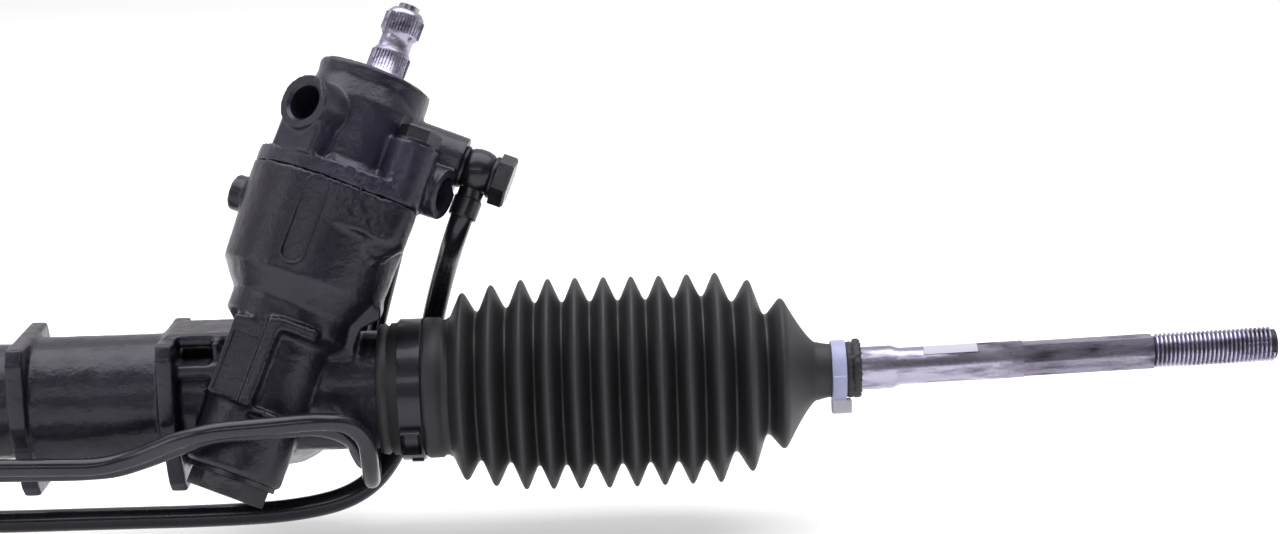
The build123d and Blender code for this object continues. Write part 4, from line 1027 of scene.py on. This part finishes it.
def rod_label():
    """Blank vinyl label wrapped on the right rod's upper side."""
    radius, thick = 6.52, 0.12
    rings = []
    for station in [LABEL_SPAN[0] + (LABEL_SPAN[1] - LABEL_SPAN[0]) * i / 12 for i in range(13)]:
        lift = tan(ROD_RISE) * station
        low, high = LABEL_ANGLES
        arc = [low + (high - low) * k / 16 for k in range(17)]
        section = [(radius + thick, a) for a in arc] + [(radius, a) for a in reversed(arc)]
        rings.append([Vector((BALLS["right"][0] + station, -r * cos(a), lift + r * sin(a))) * MM
                      for r, a in section])
    piece_from("rod_label", rings_to_mesh(rings, caps=True), "tie_rod_right", "tie_nylon", 30, LABEL)


def cast_pip():
    """Cast ring mark beside the bolt's lug."""
    azimuth = 26
    angle = radians(azimuth)
    place = on_barrel(azimuth, SEAM + 0.5, BARREL_RADIUS + 0.2)
    out = (TOWER.to_3x3() @ Vector((sin(angle), -cos(angle), 0))).normalized()
    side = out.cross(Vector((0, 0, 1))).normalized()
    up = side.cross(out)
    rings = []
    for angle in turn(32):
        spoke = side * cos(angle) + up * sin(angle)
        rings.append([place + (spoke * (2.3 + 0.55 * cos(b)) + out * 0.6 * sin(b)) * MM
                      for b in turn(10)])
    piece_from("cast_ring_mark", rings_to_mesh(rings, closed_loop=True), "housing", "cast_black", 60)


# ---- stage, light and camera
ELEVATION = radians(11.5)
ROLL = radians(1.9)
DISTANCE = 965.0
PIXELS_PER_MM = 2.87
AIM = (188.0, 39.55)  # along the rack, and up square to the line of sight
FRAME_WIDTH = 1280  # in pixels
SENSOR = 36
FLOOR_HALF = 8.0  # in metres


def camera():
    forward = Vector((0, cos(ELEVATION), -sin(ELEVATION)))
    up = Vector((0, sin(ELEVATION), cos(ELEVATION)))
    along = Vector((1, 0, 0))
    target = along * AIM[0] + up * AIM[1]
    right = along * cos(ROLL) - up * sin(ROLL)
    top = along * sin(ROLL) + up * cos(ROLL)
    data = bpy.data.cameras.new("camera")
    data.sensor_width = SENSOR
    data.lens = SENSOR * PIXELS_PER_MM * DISTANCE / FRAME_WIDTH
    data.clip_end = 50
    obj = placed("camera", data)
    matrix = Matrix((right, top, -forward)).transposed().to_4x4()
    matrix.translation = (target - forward * DISTANCE) * MM
    obj.matrix_world = matrix
    bpy.context.scene.camera = obj


def seen_directly(tree):
    """1 for what the camera sees, straight or mirrored or through glass."""
    path = add(tree, "ShaderNodeLightPath").outputs
    first = add(tree, "ShaderNodeMath", {"operation": "MAXIMUM"}, i0=path["Is Camera Ray"],
                i1=path["Is Glossy Ray"])
    return add(tree, "ShaderNodeMath", {"operation": "MAXIMUM"}, i0=first, i1=path["Is Transmission Ray"])


def floor():
    """White studio paper, lifted to full white where it is seen and still taking the shadow."""
    material = bpy.data.materials.new("white_studio_paper")
    tree = cleared_tree(material)
    diffuse = add(tree, "ShaderNodeBsdfDiffuse", Color=(0.78, 0.78, 0.78, 1.0))
    lift = add(tree, "ShaderNodeMath", {"operation": "MULTIPLY"}, i0=seen_directly(tree), i1=0.4)
    glow = add(tree, "ShaderNodeEmission", Color=(1.0, 1.0, 1.0, 1.0), Strength=lift)
    both = add(tree, "ShaderNodeAddShader", i0=diffuse, i1=glow)
    add(tree, "ShaderNodeOutputMaterial", Surface=both)
    low = CAD_BOX[0][2]
    corners = [(x * FLOOR_HALF, y * FLOOR_HALF, low) for x, y in ((-1, -1), (1, -1), (1, 1), (-1, 1))]
    mesh = bpy.data.meshes.new("studio_floor")
    mesh.from_pydata(corners, [], [(0, 1, 2, 3)])
    mesh.materials.append(material)
    obj = placed("studio_floor", mesh)


def softbox(name, place, target, size, power):
    """A rectangular area light that faces its target."""
    data = bpy.data.lights.new(name, "AREA")
    data.shape = "RECTANGLE"
    data.size, data.size_y = size
    data.energy = power
    obj = placed(name, data)
    obj.location = place
    obj.rotation_euler = (Vector(target) - Vector(place)).to_track_quat("-Z", "Y").to_euler()


def lights():
    """A big softbox overhead and a narrow one in front, in a room that is pale behind and dim in front."""
    world = bpy.data.worlds.new("studio")
    bpy.context.scene.world = world
    tree = cleared_tree(world)
    direction = add(tree, "ShaderNodeSeparateXYZ", i0=add(tree, "ShaderNodeTexCoord").outputs["Generated"])
    room = add(tree, "ShaderNodeMapRange", Value=direction.outputs["Y"], From_Min=-0.35, From_Max=0.45,
               To_Min=0.12, To_Max=0.8)
    path = add(tree, "ShaderNodeLightPath").outputs
    strength = add(tree, "ShaderNodeMath", {"operation": "MAXIMUM"}, i0=room, i1=path["Is Camera Ray"])
    background = add(tree, "ShaderNodeBackground", Color=(1.0, 0.98, 1.0, 1.0), Strength=strength)
    add(tree, "ShaderNodeOutputWorld", Surface=background)
    softbox("overhead", (0.1, 0.05, 1.5), (0.1, 0.05, 0), (3.0, 1.5), 42)
    softbox("front_strip", (-0.3, -1.8, 0.95), (0.1, 0, 0), (2.2, 0.3), 7)
    softbox("left_side", (-1.6, -0.6, 0.6), (0.1, 0, 0), (0.7, 0.9), 5)


def main():
    bpy.context.scene.view_settings.view_transform = "Standard"
    camera()
    dress_nodes()
    castings()
    raised_rim()
    housing_bolts()
    return_pipe(banjo())
    boots()
    cuff_bands()
    neck_ties()
    thread = thread_tree()
    for side in BALLS:
        threaded_rod(side, thread)
    serrated_shaft(serration_tree())
    rod_label()
    cast_pip()
    floor()
    lights()


main()
